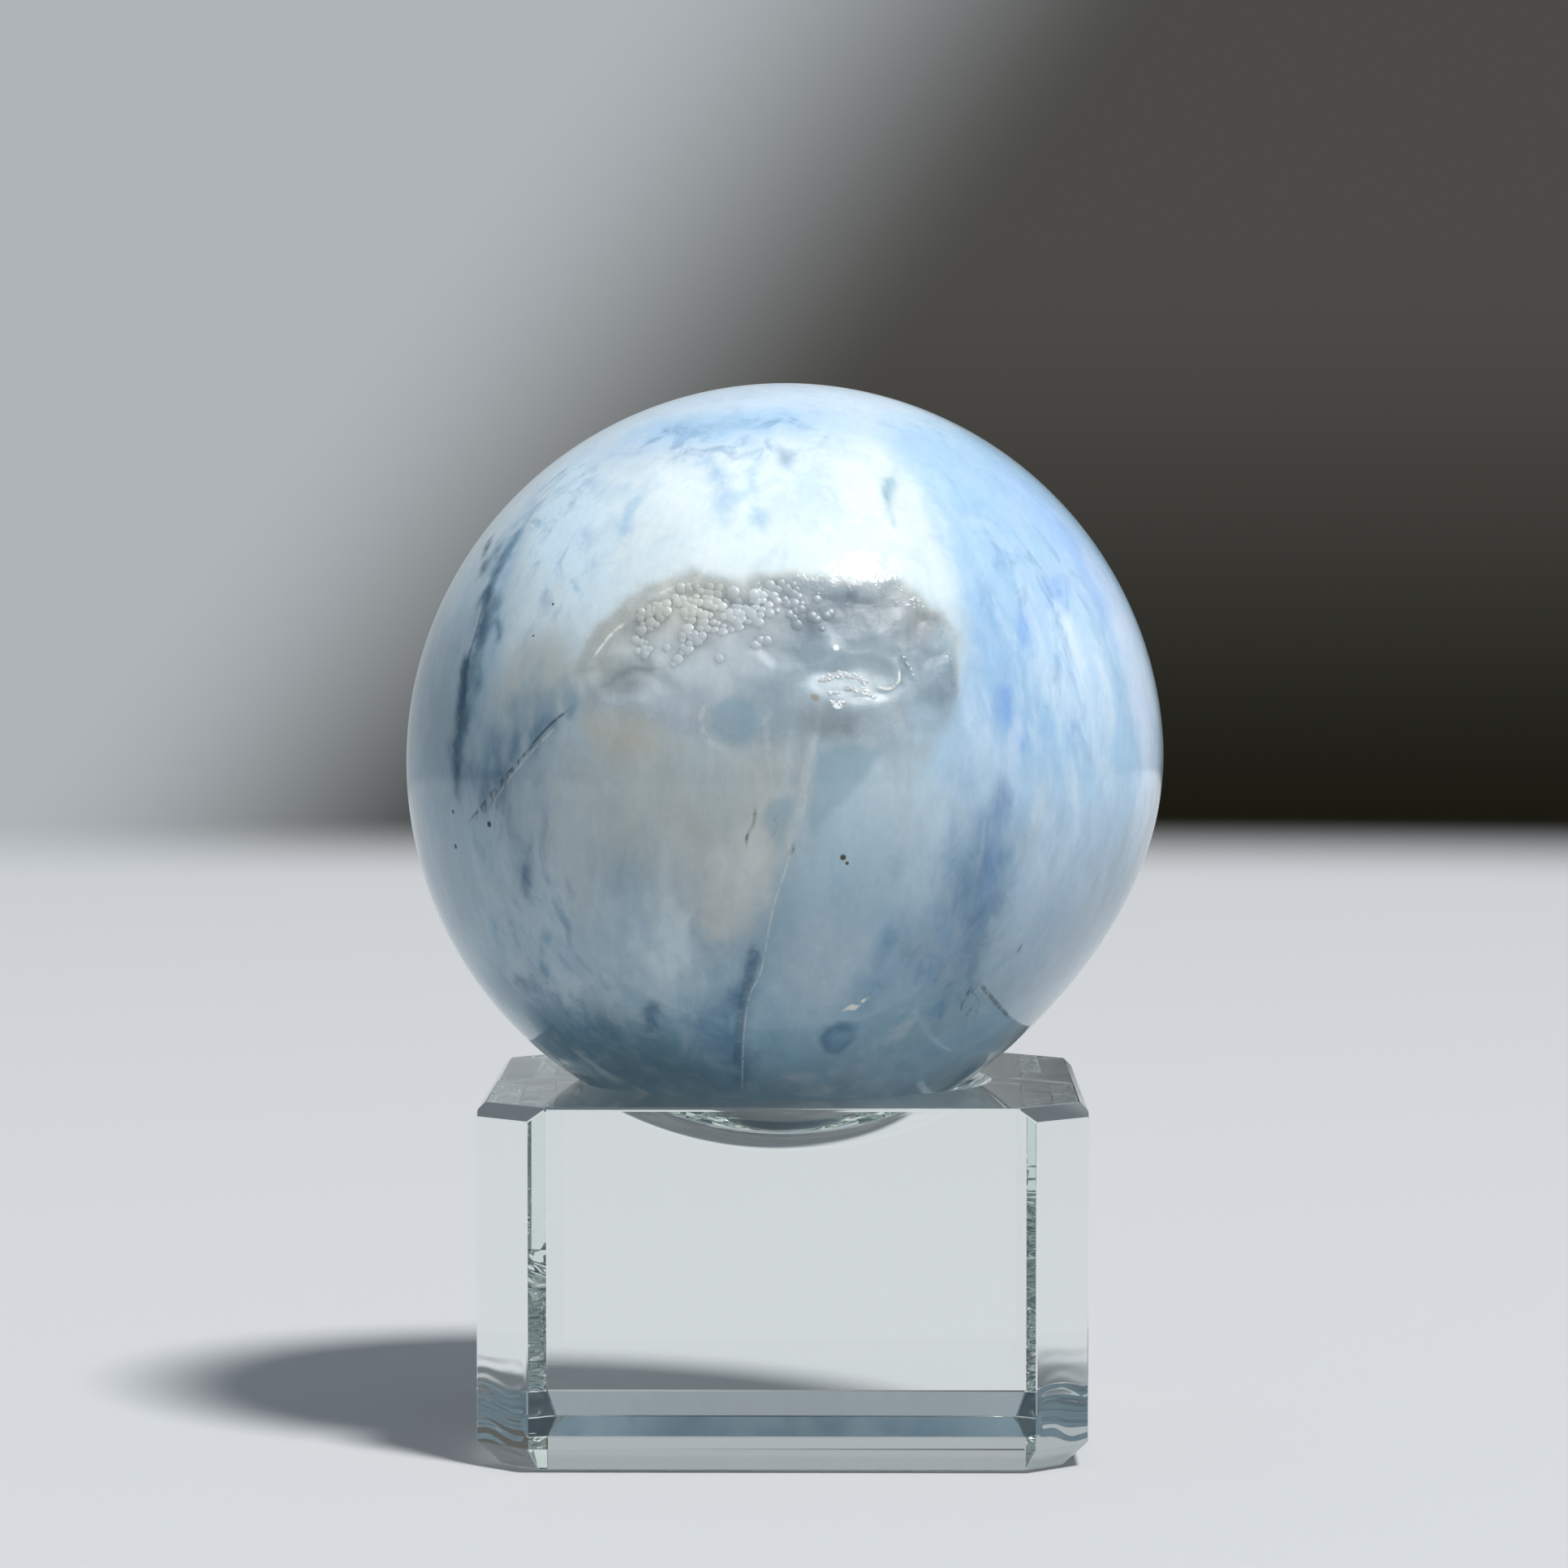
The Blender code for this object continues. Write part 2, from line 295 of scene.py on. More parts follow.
# The ball's own mesh is split twice more round the pocket. Its outline there is frayed by noise, whose
# seed is set so that every run makes the same stone.
FINER_WITHIN = (0.4, 0.1)
FRAY_WIDTH, FRAY_REACH = 0.9, 0.22
noise.seed_set(7)
ball = bmesh.new()
bmesh.ops.create_icosphere(ball, subdivisions=7, radius=STONE_RADIUS * MM)
for reach in FINER_WITHIN:
    middles = np.array([edge.verts[0].co + edge.verts[1].co for edge in ball.edges]) / 2 / MM
    near = depth_inside(middles[:, 0], middles[:, 2], POCKET) > -reach
    rough = near & (middles[:, 1] < 0)
    edges = [edge for edge, is_rough in zip(ball.edges, rough) if is_rough]
    bmesh.ops.subdivide_edges(ball, edges=edges, cuts=1, use_grid_fill=True)
    bmesh.ops.triangulate(ball, faces=ball.faces)
heading = np.array([vert.co.normalized() for vert in ball.verts])
front = heading[:, 1] < 0
flat_x, flat_z = heading[:, 0] * STONE_RADIUS, heading[:, 2] * STONE_RADIUS
frayed = np.array([noise.noise_vector(Vector(h) * STONE_RADIUS / FRAY_WIDTH) for h in heading]) * FRAY_REACH
pocket_edge = np.where(
    front, depth_inside(flat_x + frayed[:, 0], flat_z + frayed[:, 2], POCKET), -STONE_RADIUS
)
radius = np.full(len(heading), STONE_RADIUS)
off_worn = np.arccos(np.clip(heading @ np.array(WORN_HEADING), -1, 1))
radius -= WORN_DEPTH * (1 - smooth(off_worn / WORN_REACH))
open_part = pocket_edge > 0
radius[open_part] -= pocket_cut(flat_x[open_part], flat_z[open_part], pocket_edge[open_part])
places = heading * radius[:, None] + np.array((0, 0, STONE_MIDDLE))
for vert, place in zip(ball.verts, places * MM):
    vert.co = place
opal_mesh = bpy.data.meshes.new("blue_opal_ball")
ball.to_mesh(opal_mesh)
ball.free()
opal_mesh.shade_smooth()
opal = bpy.data.objects.new("blue_opal_ball", opal_mesh)
bpy.context.scene.collection.objects.link(opal)

# The opal's colours lie in soft clouds, streaks and veins. Each is laid over the last, from colours by
# the ball's height up to its finest veins, on places that are drawn a little out of true.
# By height the ball turns darker and bluer low down: partly the stone's own blue, partly painted shade of its
# underside.
HEIGHTS = [-20, -16, -11, -5, 1, 7, 13, 20]
COLOURS_AND_SHADE_BY_HEIGHT = [
    "#6d8f9f", "#7fa2b3", "#96b1bf", "#a2b6c1", "#a8b7be", "#b9cad3", "#cfdde4", "#c7d9e8",
]


def drifted(pitch, reach, upright=1.0):
    """The stone's places, drawn out of true by clouds of one size in millimetres."""
    scale = Vector((1 / pitch, 1 / pitch, 1 / pitch / upright))
    drift = [noise.noise_vector(Vector(h) * STONE_RADIUS * scale) for h in heading]
    return heading * STONE_RADIUS + np.array(drift) * reach


# Torn edges, drawn out upright, and how far they tear clouds and streaks; and two drifts, one of them
# finer.
TORN_WIDTH, TORN_UPRIGHT = 0.9, 2.2
CLOUD_TEAR, STREAK_TEAR = 0.25, 0.55
torn = np.array([
    noise.fractal(Vector((h[0], h[1], h[2] / TORN_UPRIGHT)) * STONE_RADIUS / TORN_WIDTH, 1.0, 2.0, 4)
    for h in heading
])
coarse = drifted(5.0, 1.6, 1.8)
fine = coarse + drifted(1.4, 0.5, 2.2) - heading * STONE_RADIUS
shades = np.array([linear(shade)[:3] for shade in COLOURS_AND_SHADE_BY_HEIGHT])
tint = np.stack([np.interp(coarse[:, 2], HEIGHTS, shades[:, k]) for k in range(3)], 1)


def lay(share, colour):
    """Lays a colour over the stone as far as its share of each place."""
    tint[:] += share[:, None] * (np.array(linear(colour)[:3]) - tint)


def on_ball(x, z, behind=False):
    """The place on the ball that is so far right of and above its middle."""
    y = math.sqrt(max(STONE_RADIUS ** 2 - x * x - z * z, 0.01))
    return np.array((x, y if behind else -y, z)) * STONE_RADIUS / math.sqrt(x * x + y * y + z * z)


def cloud(x, z, half_wide, half_high, turn=0, edge=0.5, behind=False, ground=None):
    """How far a soft oval cloud covers each place; its turn is in degrees, its edge a share of it."""
    middle = on_ball(x, z, behind)
    right = np.cross((0, 0, 1), middle)
    right /= np.linalg.norm(right)
    above = np.cross(middle, right) / STONE_RADIUS
    lean = math.radians(turn)
    ground = coarse if ground is None else ground
    level, rise = ground @ right, ground @ above - middle @ above
    level -= middle @ right
    across = (level * math.cos(lean) + rise * math.sin(lean)) / half_wide
    along = (rise * math.cos(lean) - level * math.sin(lean)) / half_high
    share = 1 - smooth((np.hypot(across, along) - 1 + edge) / (2 * edge) + CLOUD_TEAR * torn)
    return np.where(ground @ middle > 0, share, 0)


def rounded(line, behind=False):
    """A line's points on the ball, with three more between each two, along one smooth curve."""
    places = [np.array(point) for point in line]
    places = [2 * places[0] - places[1]] + places + [2 * places[-1] - places[-2]]
    curve = []
    for a, b, c, d in zip(places, places[1:], places[2:], places[3:]):
        for t in (0, 0.25, 0.5, 0.75):
            curve.append(0.5 * (2 * b + (c - a) * t + (2 * a - 5 * b + 4 * c - d) * t ** 2
                                + (3 * b - a - 3 * c + d) * t ** 3))
    curve.append(places[-2])
    return [on_ball(*point, behind) for point in curve]


def off_curve(curve, ground):
    """How far each place is off a curve on the ball, on which side, and how far along it."""
    nearest = np.full(len(ground), np.inf)
    side = np.zeros(len(ground))
    along = np.zeros(len(ground))
    for step, (a, b) in enumerate(zip(curve, curve[1:])):
        way = b - a
        share = np.clip((ground - a) @ way / (way @ way), 0, 1)
        off = ground - a - share[:, None] * way
        far = np.linalg.norm(off, axis=1)
        closer = far < nearest
        nearest = np.where(closer, far, nearest)
        side = np.where(closer, off @ np.cross(way, a), side)
        along = np.where(closer, (step + share) / (len(curve) - 1), along)
    return nearest, np.sign(side), along


def streak(line, width, behind=False):
    """How far a soft streak covers each place; it thins out towards both ends."""
    nearest, _, along = off_curve(rounded(line, behind), fine)
    thin = 0.35 + 0.65 * np.sqrt(np.clip(4 * along * (1 - along), 0, 1))
    return 1 - smooth(nearest / (1.5 * width * thin) + STREAK_TEAR * torn + 0.1)


# Clouds: colour, how strong, then its middle, half width, half height, turn and edge.
CLOUDS = [
    ("#96adba", 0.8, -17.5, 1.0, 5.5, 9.0, 0, 0.5),
    ("#a6bac4", 0.7, -12.0, -8.0, 5.0, 6.0, 0, 0.5),
    ("#e0ecee", 1.0, -1.5, 12.2, 9.5, 5.8, 0, 0.3),
    ("#cfdce1", 0.9, -9.8, 9.0, 4.6, 4.4, 25, 0.5),
    ("#b3b7b3", 0.8, -12.3, 4.4, 2.0, 2.8, 0, 0.6),
    ("#b4bcbb", 0.9, -6.2, -0.8, 5.8, 4.4, 0, 0.55),
    ("#b0b5b2", 0.85, -3.6, -3.4, 3.2, 3.2, 0, 0.6),
    ("#a9bec9", 0.6, -9.5, -7.0, 4.0, 4.0, 0, 0.6),
    ("#c0cfd5", 0.6, -5.4, -7.6, 2.0, 4.4, -14, 0.7),
    ("#abbfcb", 0.7, 5.6, -3.8, 4.6, 4.6, 0, 0.6),
    ("#b2c2ca", 0.7, 5.0, -0.4, 3.4, 2.2, 0, 0.6),
    ("#b0cce2", 0.8, 10.2, 1.0, 3.2, 4.2, 0, 0.6),
    ("#a9c8e1", 1.0, 15.0, 9.0, 8.6, 12.5, 0, 0.14),
    ("#a7c6ee", 0.8, 15.6, 10.6, 3.0, 5.6, 10, 0.6),
    ("#9ebfdb", 0.8, 11.8, 4.0, 2.2, 4.8, 0, 0.6),
    ("#c0d8ec", 0.8, 15.2, 5.6, 2.4, 4.2, 0, 0.6),
    ("#d5e4f5", 0.85, 18.8, 3.6, 2.3, 7.4, 0, 0.6),
    ("#abc1d3", 0.8, 15.0, -5.0, 5.0, 5.0, 0, 0.6),
    ("#b3c3d0", 0.8, 15.2, -10.4, 4.2, 4.0, 0, 0.6),
    ("#6485a0", 0.95, 9.4, -6.2, 1.9, 4.8, 6, 0.6),
    ("#8ea9bb", 0.7, 6.6, -8.6, 3.2, 3.0, 0, 0.6),
    ("#9bb7c6", 0.7, 2.4, -9.0, 3.0, 4.0, 0, 0.6),
    ("#638899", 0.95, -9.0, -14.2, 5.8, 2.8, -16, 0.5),
    ("#86a8ba", 0.7, 0.0, -14.4, 3.2, 2.2, 0, 0.6),
    ("#6c90a6", 0.7, -3.8, -13.6, 1.9, 2.4, 0, 0.6),
    ("#8fb0c4", 0.7, 8.2, -15.2, 4.6, 2.4, 14, 0.6),
    ("#a9c9e4", 0.85, -2.8, 17.8, 5.4, 2.0, 4, 0.7),
    ("#cfe0ee", 0.5, 1.5, 19.2, 5.0, 1.6, 0, 0.6),
    ("#cfe5f2", 0.85, -11.0, 13.4, 2.2, 5.6, 42, 0.6),
    ("#a3bfd4", 0.6, -14.6, 9.8, 1.3, 4.4, 22, 0.6),
    ("#a9afb1", 0.7, 0.5, 1.8, 1.1, 3.2, 0, 0.5),
    ("#adb3b2", 0.5, -3.0, -0.4, 3.0, 2.6, 0, 0.6),
    ("#b3b1a6", 0.7, -8.2, 3.0, 2.6, 1.6, -14, 0.6),
    ("#ced2cf", 0.8, -2.6, -5.4, 1.8, 2.6, 0, 0.6),
    ("#b6c6d0", 0.8, 1.8, -9.4, 1.8, 3.0, 0, 0.6),
    ("#bac5c8", 0.85, -11.0, -3.4, 2.2, 3.2, 0, 0.6),
    ("#dfe8ea", 0.5, 3.8, 15.0, 3.4, 3.0, 0, 0.6),
    ("#c3d8e6", 0.6, 1.2, 14.8, 1.2, 2.4, 0, 0.6),
    ("#dde5e6", 0.8, 6.9, 12.6, 1.5, 5.0, 6, 0.5),
    ("#96b9cf", 0.7, 8.8, -14.4, 4.2, 1.9, 22, 0.5),
    ("#557990", 0.85, 3.0, -13.3, 1.1, 0.75, -4, 0.2),
    ("#7f9fb6", 0.7, 3.15, -13.4, 0.7, 0.4, -4, 0.4),
    ("#6f93a8", 0.7, -12.4, -12.0, 2.6, 2.6, -30, 0.6),
]
for colour, strength, *shape in CLOUDS:
    lay(strength * cloud(*shape), colour)

# Streaks: colour, how strong, width, and the places that each passes.
STREAKS = [
    ("#8db0ca", 0.5, 0.8, [(-5.6, 17.6), (-2.4, 17.7), (0.6, 17.4)]),
    ("#a8c6df", 0.6, 0.9, [(-4.2, 16.6), (-3.4, 14.6), (-3.0, 13.0)]),
    ("#a5c4dd", 0.55, 0.8, [(-7.2, 15.6), (-8.0, 13.6), (-8.3, 12.0)]),
    ("#a9c9de", 0.5, 0.7, [(-1.6, 16.6), (-1.3, 14.8), (-0.2, 12.6)]),
    ("#8ea6b6", 0.5, 0.35, [(-0.1, 16.4), (0.5, 15.6), (1.1, 14.5)]),
    ("#93b5c2", 0.9, 0.55, [(6.4, 18.2), (5.9, 16.2), (5.7, 14.4), (5.5, 13.2)]),
    ("#89a9c0", 0.4, 0.45, [(-14.0, 12.2), (-12.6, 13.4), (-10.4, 15.0), (-8.4, 16.2)]),
    ("#7b9cb4", 0.9, 0.7, [(-14.6, 10.4), (-13.2, 12.6)]),
    ("#7da0b6", 0.55, 0.6, [(-12.8, 9.4), (-12.2, 10.6), (-11.6, 11.4)]),
    ("#6b8ea6", 0.5, 0.45, [(-10.6, 13.6), (-10.0, 14.4)]),
    ("#4d7084", 0.75, 1.5, [
        (-14.9, 11.0), (-15.2, 9.0), (-16.0, 6.0), (-16.4, 3.4), (-16.9, 0.0), (-17.4, -3.2),
    ]),
    ("#214c66", 1.0, 0.6, [
        (-15.5, 11.8), (-15.6, 10.2), (-15.5, 8.8), (-16.1, 6.8),
        (-16.6, 5.4), (-16.5, 3.6), (-16.7, 2.2), (-17.2, 0.6),
    ]),
    ("#35566a", 0.75, 0.5, [(-16.9, 1.3), (-17.0, -1.0), (-17.5, -3.0), (-17.6, -4.6)]),
    ("#5d7f95", 0.8, 0.5, [(-14.9, 7.6), (-14.3, 7.0), (-14.2, 6.4)]),
    ("#4b6b7f", 0.7, 0.6, [
        (-10.9, 3.2), (-11.8, 2.5), (-13.0, 1.2), (-14.4, -0.6), (-16.0, -2.8), (-17.0, -4.6),
    ]),
    ("#6d8ca0", 0.5, 2.0, [(-10.6, 3.6), (-12.4, 2.6), (-14.4, 0.8), (-16.2, -1.4)]),
    ("#3a6885", 0.9, 0.65, [
        (-13.6, -3.8), (-13.3, -5.4), (-13.6, -6.7), (-13.4, -7.9), (-13.4, -9.0), (-13.1, -10.8),
    ]),
    ("#5f88a2", 0.7, 0.5, [(-12.8, -7.2), (-12.5, -8.9), (-12.2, -10.4)]),
    ("#5f88a2", 0.7, 0.5, [(-11.8, -9.4), (-11.6, -11.2), (-11.4, -12.6)]),
    ("#7c9cb0", 0.5, 0.6, [(-14.8, -6.0), (-14.4, -8.6), (-13.8, -11.0)]),
    ("#56788f", 0.8, 0.7, [(-7.6, -13.4), (-6.9, -12.0), (-6.0, -10.6)]),
    ("#89a4b3", 0.55, 0.5, [(-3.9, -5.6), (-3.4, -4.4), (-3.0, -3.6)]),
    ("#7f9fb1", 0.5, 0.6, [(-4.6, -7.2), (-3.9, -5.6)]),
    ("#557c98", 0.75, 0.9, [(-0.9, -8.4), (-1.8, -11.4), (-2.6, -13.0), (-2.8, -15.4)]),
    ("#7d9fb8", 0.6, 0.7, [(-0.2, -3.6), (-0.7, -6.4), (-1.4, -8.8)]),
    ("#8fb2e2", 0.65, 0.9, [(13.6, 10.4), (13.8, 9.4), (13.4, 8.6)]),
    ("#8db0e0", 0.7, 0.6, [(13.3, 8.8), (12.8, 7.6), (12.4, 6.6)]),
    ("#92b2e4", 0.6, 0.7, [(14.0, 13.2), (14.6, 12.4), (15.2, 11.4)]),
    ("#85a9d8", 0.7, 0.6, [(11.7, 4.4), (11.5, 2.8), (11.6, 1.2)]),
    ("#7695b6", 0.7, 0.9, [(10.4, 0.2), (10.0, -2.4), (10.1, -5.0), (9.9, -8.4)]),
    ("#6c8cab", 0.6, 0.6, [(10.2, -3.4), (10.1, -6.6), (9.8, -10.0)]),
    ("#7a9bb8", 0.6, 0.9, [(7.7, -5.6), (7.4, -9.1), (7.2, -12.4)]),
    ("#7b9cb6", 0.45, 0.8, [(4.6, -7.6), (4.4, -10.4), (4.2, -12.6)]),
    ("#d9e8f4", 0.55, 0.5, [(14.4, 8.4), (15.0, 6.6), (15.2, 4.6)]),
    ("#d9e8f4", 0.5, 0.4, [(15.6, 7.4), (16.2, 5.6), (16.4, 3.8)]),
    ("#d6e6f4", 0.45, 0.4, [(10.0, 5.6), (9.6, 3.8), (9.4, 2.0)]),
    ("#dbe6e8", 0.5, 1.2, [(-5.0, -5.2), (-5.8, -7.8), (-6.4, -10.4)]),
    ("#bccad0", 0.7, 0.7, [(-1.8, -14.8), (0.7, -15.2), (4.0, -14.5), (7.0, -12.4)]),
    ("#b8c4c6", 0.5, 0.8, [(-0.9, -15.6), (2.6, -15.9)]),
    ("#d5e1e8", 0.5, 0.6, [(-12.0, -13.4), (-9.8, -15.0), (-7.0, -16.6)]),
]
STREAK_STRENGTH = 1.25
for colour, strength, width, line in STREAKS:
    lay(min(STREAK_STRENGTH * strength, 1) * streak(line, width), colour)

# The side away from the pocket carries on in the same manner, paler above and bluer below.
chance = np.random.default_rng(21)
BACK_ABOVE = ["#dfe8ea", "#b9d3e9", "#cbdbe4", "#a9c8e1", "#d6e2e8", "#9ebfdb"]
BACK_BELOW = ["#8fb0c4", "#aebfc6", "#9bb7c6", "#7fa0b4", "#b0c6d4", "#a3bac7"]
BACK_STREAKS = ["#6c8fa8", "#86a9c8", "#56788f", "#d6e4ee"]
for step in range(26):
    around, up = math.radians(chance.uniform(-78, 78)), math.radians(chance.uniform(-55, 62))
    x, z = STONE_RADIUS * math.sin(around) * math.cos(up), STONE_RADIUS * math.sin(up)
    hues = BACK_ABOVE if z > chance.uniform(-3, 5) else BACK_BELOW
    wide, high, lean = chance.uniform(2, 5), chance.uniform(3, 8), chance.uniform(-25, 25)
    lay(chance.uniform(0.5, 0.9) * cloud(x, z, wide, high, lean, 0.55, True), hues[step % len(hues)])
for step in range(20):
    x, z = chance.uniform(-16, 16), chance.uniform(-6, 13)
    fall, lean = chance.uniform(4, 10), chance.uniform(-1.4, 1.4)
    line = [(x * (1 - 0.03 * z), z), (x + lean * 0.4, z - fall * 0.5), (x + lean, z - fall)]
    hue = BACK_STREAKS[step % len(BACK_STREAKS)]
    lay(chance.uniform(0.4, 0.75) * streak(line, chance.uniform(0.4, 1.0), True), hue)

# The pocket's chalcedony: grey, warmer in its two upper corners and bluer to the right, with
# near-white crust in its broken hollow and a painted glint on one bead of it. Its edge is sharp above,
# and fades where its floor comes up flush with the polish.
SHARP_EDGE, FADED_EDGE = 0.3, 1.0
fading = SHARP_EDGE + (FADED_EDGE - SHARP_EDGE) * (1 - smooth((flat_z - 2.2) / 2.6))
in_pocket = smooth((pocket_edge / fading + 1) / 2) * front
lay(in_pocket * 0.95, "#9ba6ac")
exact = heading * STONE_RADIUS
POCKET_SHADES = [
    ("#c9ccc4", 0.9, -4.6, 8.8, 3.6, 1.6, 12, 0.6),
    ("#b0b3ad", 0.9, -8.6, 6.6, 1.8, 2.0, -40, 0.6),
    ("#bfc9cc", 0.85, -4.8, 5.8, 3.6, 1.7, 0, 0.6),
    ("#b0b9be", 0.7, -1.8, 6.8, 2.4, 1.6, 0, 0.6),
    ("#7b8c97", 0.85, 2.0, 6.8, 2.2, 1.5, 20, 0.6),
    ("#979b9a", 0.8, 6.2, 8.4, 1.8, 1.4, -30, 0.6),
    ("#76848d", 0.9, 3.8, 8.2, 2.2, 1.1, 0, 0.6),
    ("#c6d0d4", 0.8, -1.4, 8.9, 1.2, 0.8, 0, 0.6),
    ("#708593", 0.9, 8.0, 4.6, 1.4, 1.6, 0, 0.5),
    ("#aebdc2", 0.7, 8.1, 6.8, 0.9, 0.9, 0, 0.6),
    ("#82929d", 0.8, 6.6, 5.2, 1.8, 2.0, 0, 0.6),
    ("#9fb3c0", 0.8, 7.0, 2.6, 1.6, 1.1, 0, 0.6),
    ("#b7c7d2", 0.6, 7.0, 1.7, 1.2, 0.5, -20, 0.5),
    ("#8b9aa3", 0.7, -0.6, 3.2, 1.6, 1.5, 0, 0.6),
    ("#8f999c", 0.8, -8.0, 4.9, 1.9, 0.7, 24, 0.6),
    ("#a6adb4", 0.7, -5.0, 3.6, 2.2, 1.2, 0, 0.6),
    ("#aebdc4", 0.7, 3.9, 4.6, 2.5, 1.2, 0, 0.6),
    ("#808b91", 0.8, 2.4, 3.0, 2.2, 0.9, 0, 0.6),
    ("#a5b3bb", 0.7, 5.4, 2.6, 1.4, 0.9, 0, 0.6),
    ("#dfe9ec", 0.9, 3.1, 4.9, 1.5, 0.5, 6, 0.5),
    ("#e8f0f3", 0.9, 4.2, 4.4, 0.8, 0.28, -24, 0.5),
    # A painted glint on a bead of the crust.
    ("#f4fafc", 1.0, 2.8, 3.8, 0.22, 0.16, 0, 0.3),
    ("#f4fafc", 0.9, 2.6, 6.5, 0.12, 0.12, 0, 0.4),
    ("#8d7a55", 0.6, 1.75, 4.15, 0.22, 0.16, 0, 0.5),
]
for colour, strength, *shape in POCKET_SHADES:
    lay(strength * in_pocket * cloud(*shape, ground=0.6 * exact + 0.4 * fine), colour)
lay(0.3 * front * (1 - smooth(np.abs(pocket_edge + 0.05) / 0.5)) * smooth((flat_z - 3) / 4), "#b0ad9f")

# Marks that are sharp are kept as how far each place is off them, in their own half widths, so the
# finish can draw them finer than the mesh: half width, strength, and the places each passes.
DARK_LINES = [
    (0.08, 0.7, [
        (-10.6, 3.4), (-11.4, 2.8), (-12.2, 2.0), (-13.2, 0.8), (-14.2, -0.3), (-15.0, -1.3), (-16.2, -2.8),
    ]),
    (0.14, 0.45, [(-15.3, 8.8), (-15.7, 7.1), (-16.2, 5.4), (-16.3, 3.6), (-16.5, 2.2)]),
    (0.10, 0.9, [(-1.25, -1.4), (-1.3, -2.0), (-1.45, -2.5)]),
    (0.09, 0.7, [(-1.55, -2.5), (-1.7, -2.9), (-1.7, -3.3)]),
    (0.12, 0.7, [(0.65, -3.1), (0.6, -3.4), (0.45, -3.8)]),
    (0.14, 0.7, [(10.0, -10.6), (11.0, -11.9), (12.2, -13.4)]),
    (0.10, 0.7, [(9.7, -10.8), (9.5, -11.2), (9.5, -11.5)]),
    (0.10, 0.7, [(9.3, -11.6), (9.2, -11.9), (9.2, -12.2)]),
    (0.09, 0.6, [(9.8, -12.1), (9.6, -12.4), (9.5, -12.6)]),
    (0.09, 0.6, [(12.3, -8.7), (12.2, -9.0), (12.0, -9.3)]),
    (0.08, 0.5, [(-13.4, 0.2), (-14.2, -0.7), (-15.2, -2.2)]),
    (0.3, 0.4, [(-1.2, -7.8), (-1.7, -10.4), (-2.1, -12.4), (-2.3, -15.2)]),
]
# Pale lines: the stone's cream crack, the stem's beige lines, a ridge and a ring, and painted glints on a pit
# low on the front, along two ledges of the pocket and along the broken hollow's edge.
PALE_LINES_AND_GLINTS = [
    (0.06, 0.35, [
        (0.7, -2.6), (0.3, -4.3), (-0.4, -6.5), (-1.0, -9.7),
        (-1.6, -11.0), (-1.9, -12.9), (-2.0, -14.6), (-2.1, -16.6),
    ]),
    (0.2, 0.12, [(-0.6, 3.6), (-0.7, 2.4), (-0.6, 1.2), (-0.3, -0.2)]),
    (0.26, 0.14, [(2.0, 2.5), (1.6, 1.6), (1.3, 0.8), (1.1, -0.6), (0.9, -2.0), (0.5, -3.2)]),
    # A painted glint on the edge of a pit.
    (0.10, 1.0, [(3.1, -11.9), (3.5, -11.6), (3.7, -11.8), (4.0, -11.4), (4.4, -11.2)]),
    (0.08, 0.3, [(-11.0, 2.8), (-12.4, 1.4), (-13.7, -0.1), (-14.8, -1.6)]),
    (0.16, 0.2, [(-3.6, 3.9), (-4.0, 3.0), (-3.6, 1.9), (-2.6, 1.4)]),
    # Painted glints along two ledges and along the broken hollow's edge.
    (0.09, 0.8, [(-9.5, 5.9), (-8.7, 7.0), (-7.8, 7.8)]),
    (0.09, 0.8, [(-6.3, 9.1), (-5.5, 9.5), (-4.7, 9.7)]),
    (0.08, 0.9, [(4.7, 4.7), (5.4, 4.5), (5.9, 4.9), (5.9, 5.5)]),
]


def sharp_marks(lines):
    """How far each place is off the nearest line, in its half widths, and that line's strength."""
    off_by, strength_there = np.full(len(heading), 20.0), np.zeros(len(heading))
    for half_width, strength, line in lines:
        near, side, along = off_curve(rounded(line), exact)
        closer = near / half_width < np.abs(off_by)
        off_by = np.where(closer, np.where(side < 0, -1, 1) * near / half_width, off_by)
        ends = smooth(np.minimum(along, 1 - along) * len(line) / 0.6)
        strength_there = np.where(closer, strength * ends, strength_there)
    return off_by, strength_there


dark_off, dark_strength = sharp_marks(DARK_LINES)
pale_off, pale_strength = sharp_marks(PALE_LINES_AND_GLINTS)

# Clear windows of teal chalcedony beside the stem, and the round bubble.
TEAL_RIGHT = [
    (1.7, 1.5), (3.4, 1.9), (5.2, 1.5), (4.4, 0.2), (3.5, -0.9), (2.6, -1.6), (1.6, -3.2), (1.2, -1.8),
]
TEAL_LEFT = [(-0.5, -0.9), (0.8, -0.7), (0.6, -2.0), (0.2, -3.4), (-0.1, -4.1), (-0.7, -2.8), (-1.1, -1.9)]
BUBBLE_MIDDLE, BUBBLE_HALF_WIDE, BUBBLE_HALF_HIGH = (-2.3, 2.9), 1.25, 1.35
window = np.full(len(heading), -5.0)
for outline in (TEAL_RIGHT, TEAL_LEFT):
    window = np.where(front, np.maximum(window, depth_inside(flat_x, flat_z, outline)), window)
off = np.hypot((flat_x - BUBBLE_MIDDLE[0]) / BUBBLE_HALF_WIDE, (flat_z - BUBBLE_MIDDLE[1]) / BUBBLE_HALF_HIGH)
window = np.where(front, np.maximum(window, (1 - off) * BUBBLE_HALF_HIGH), window)

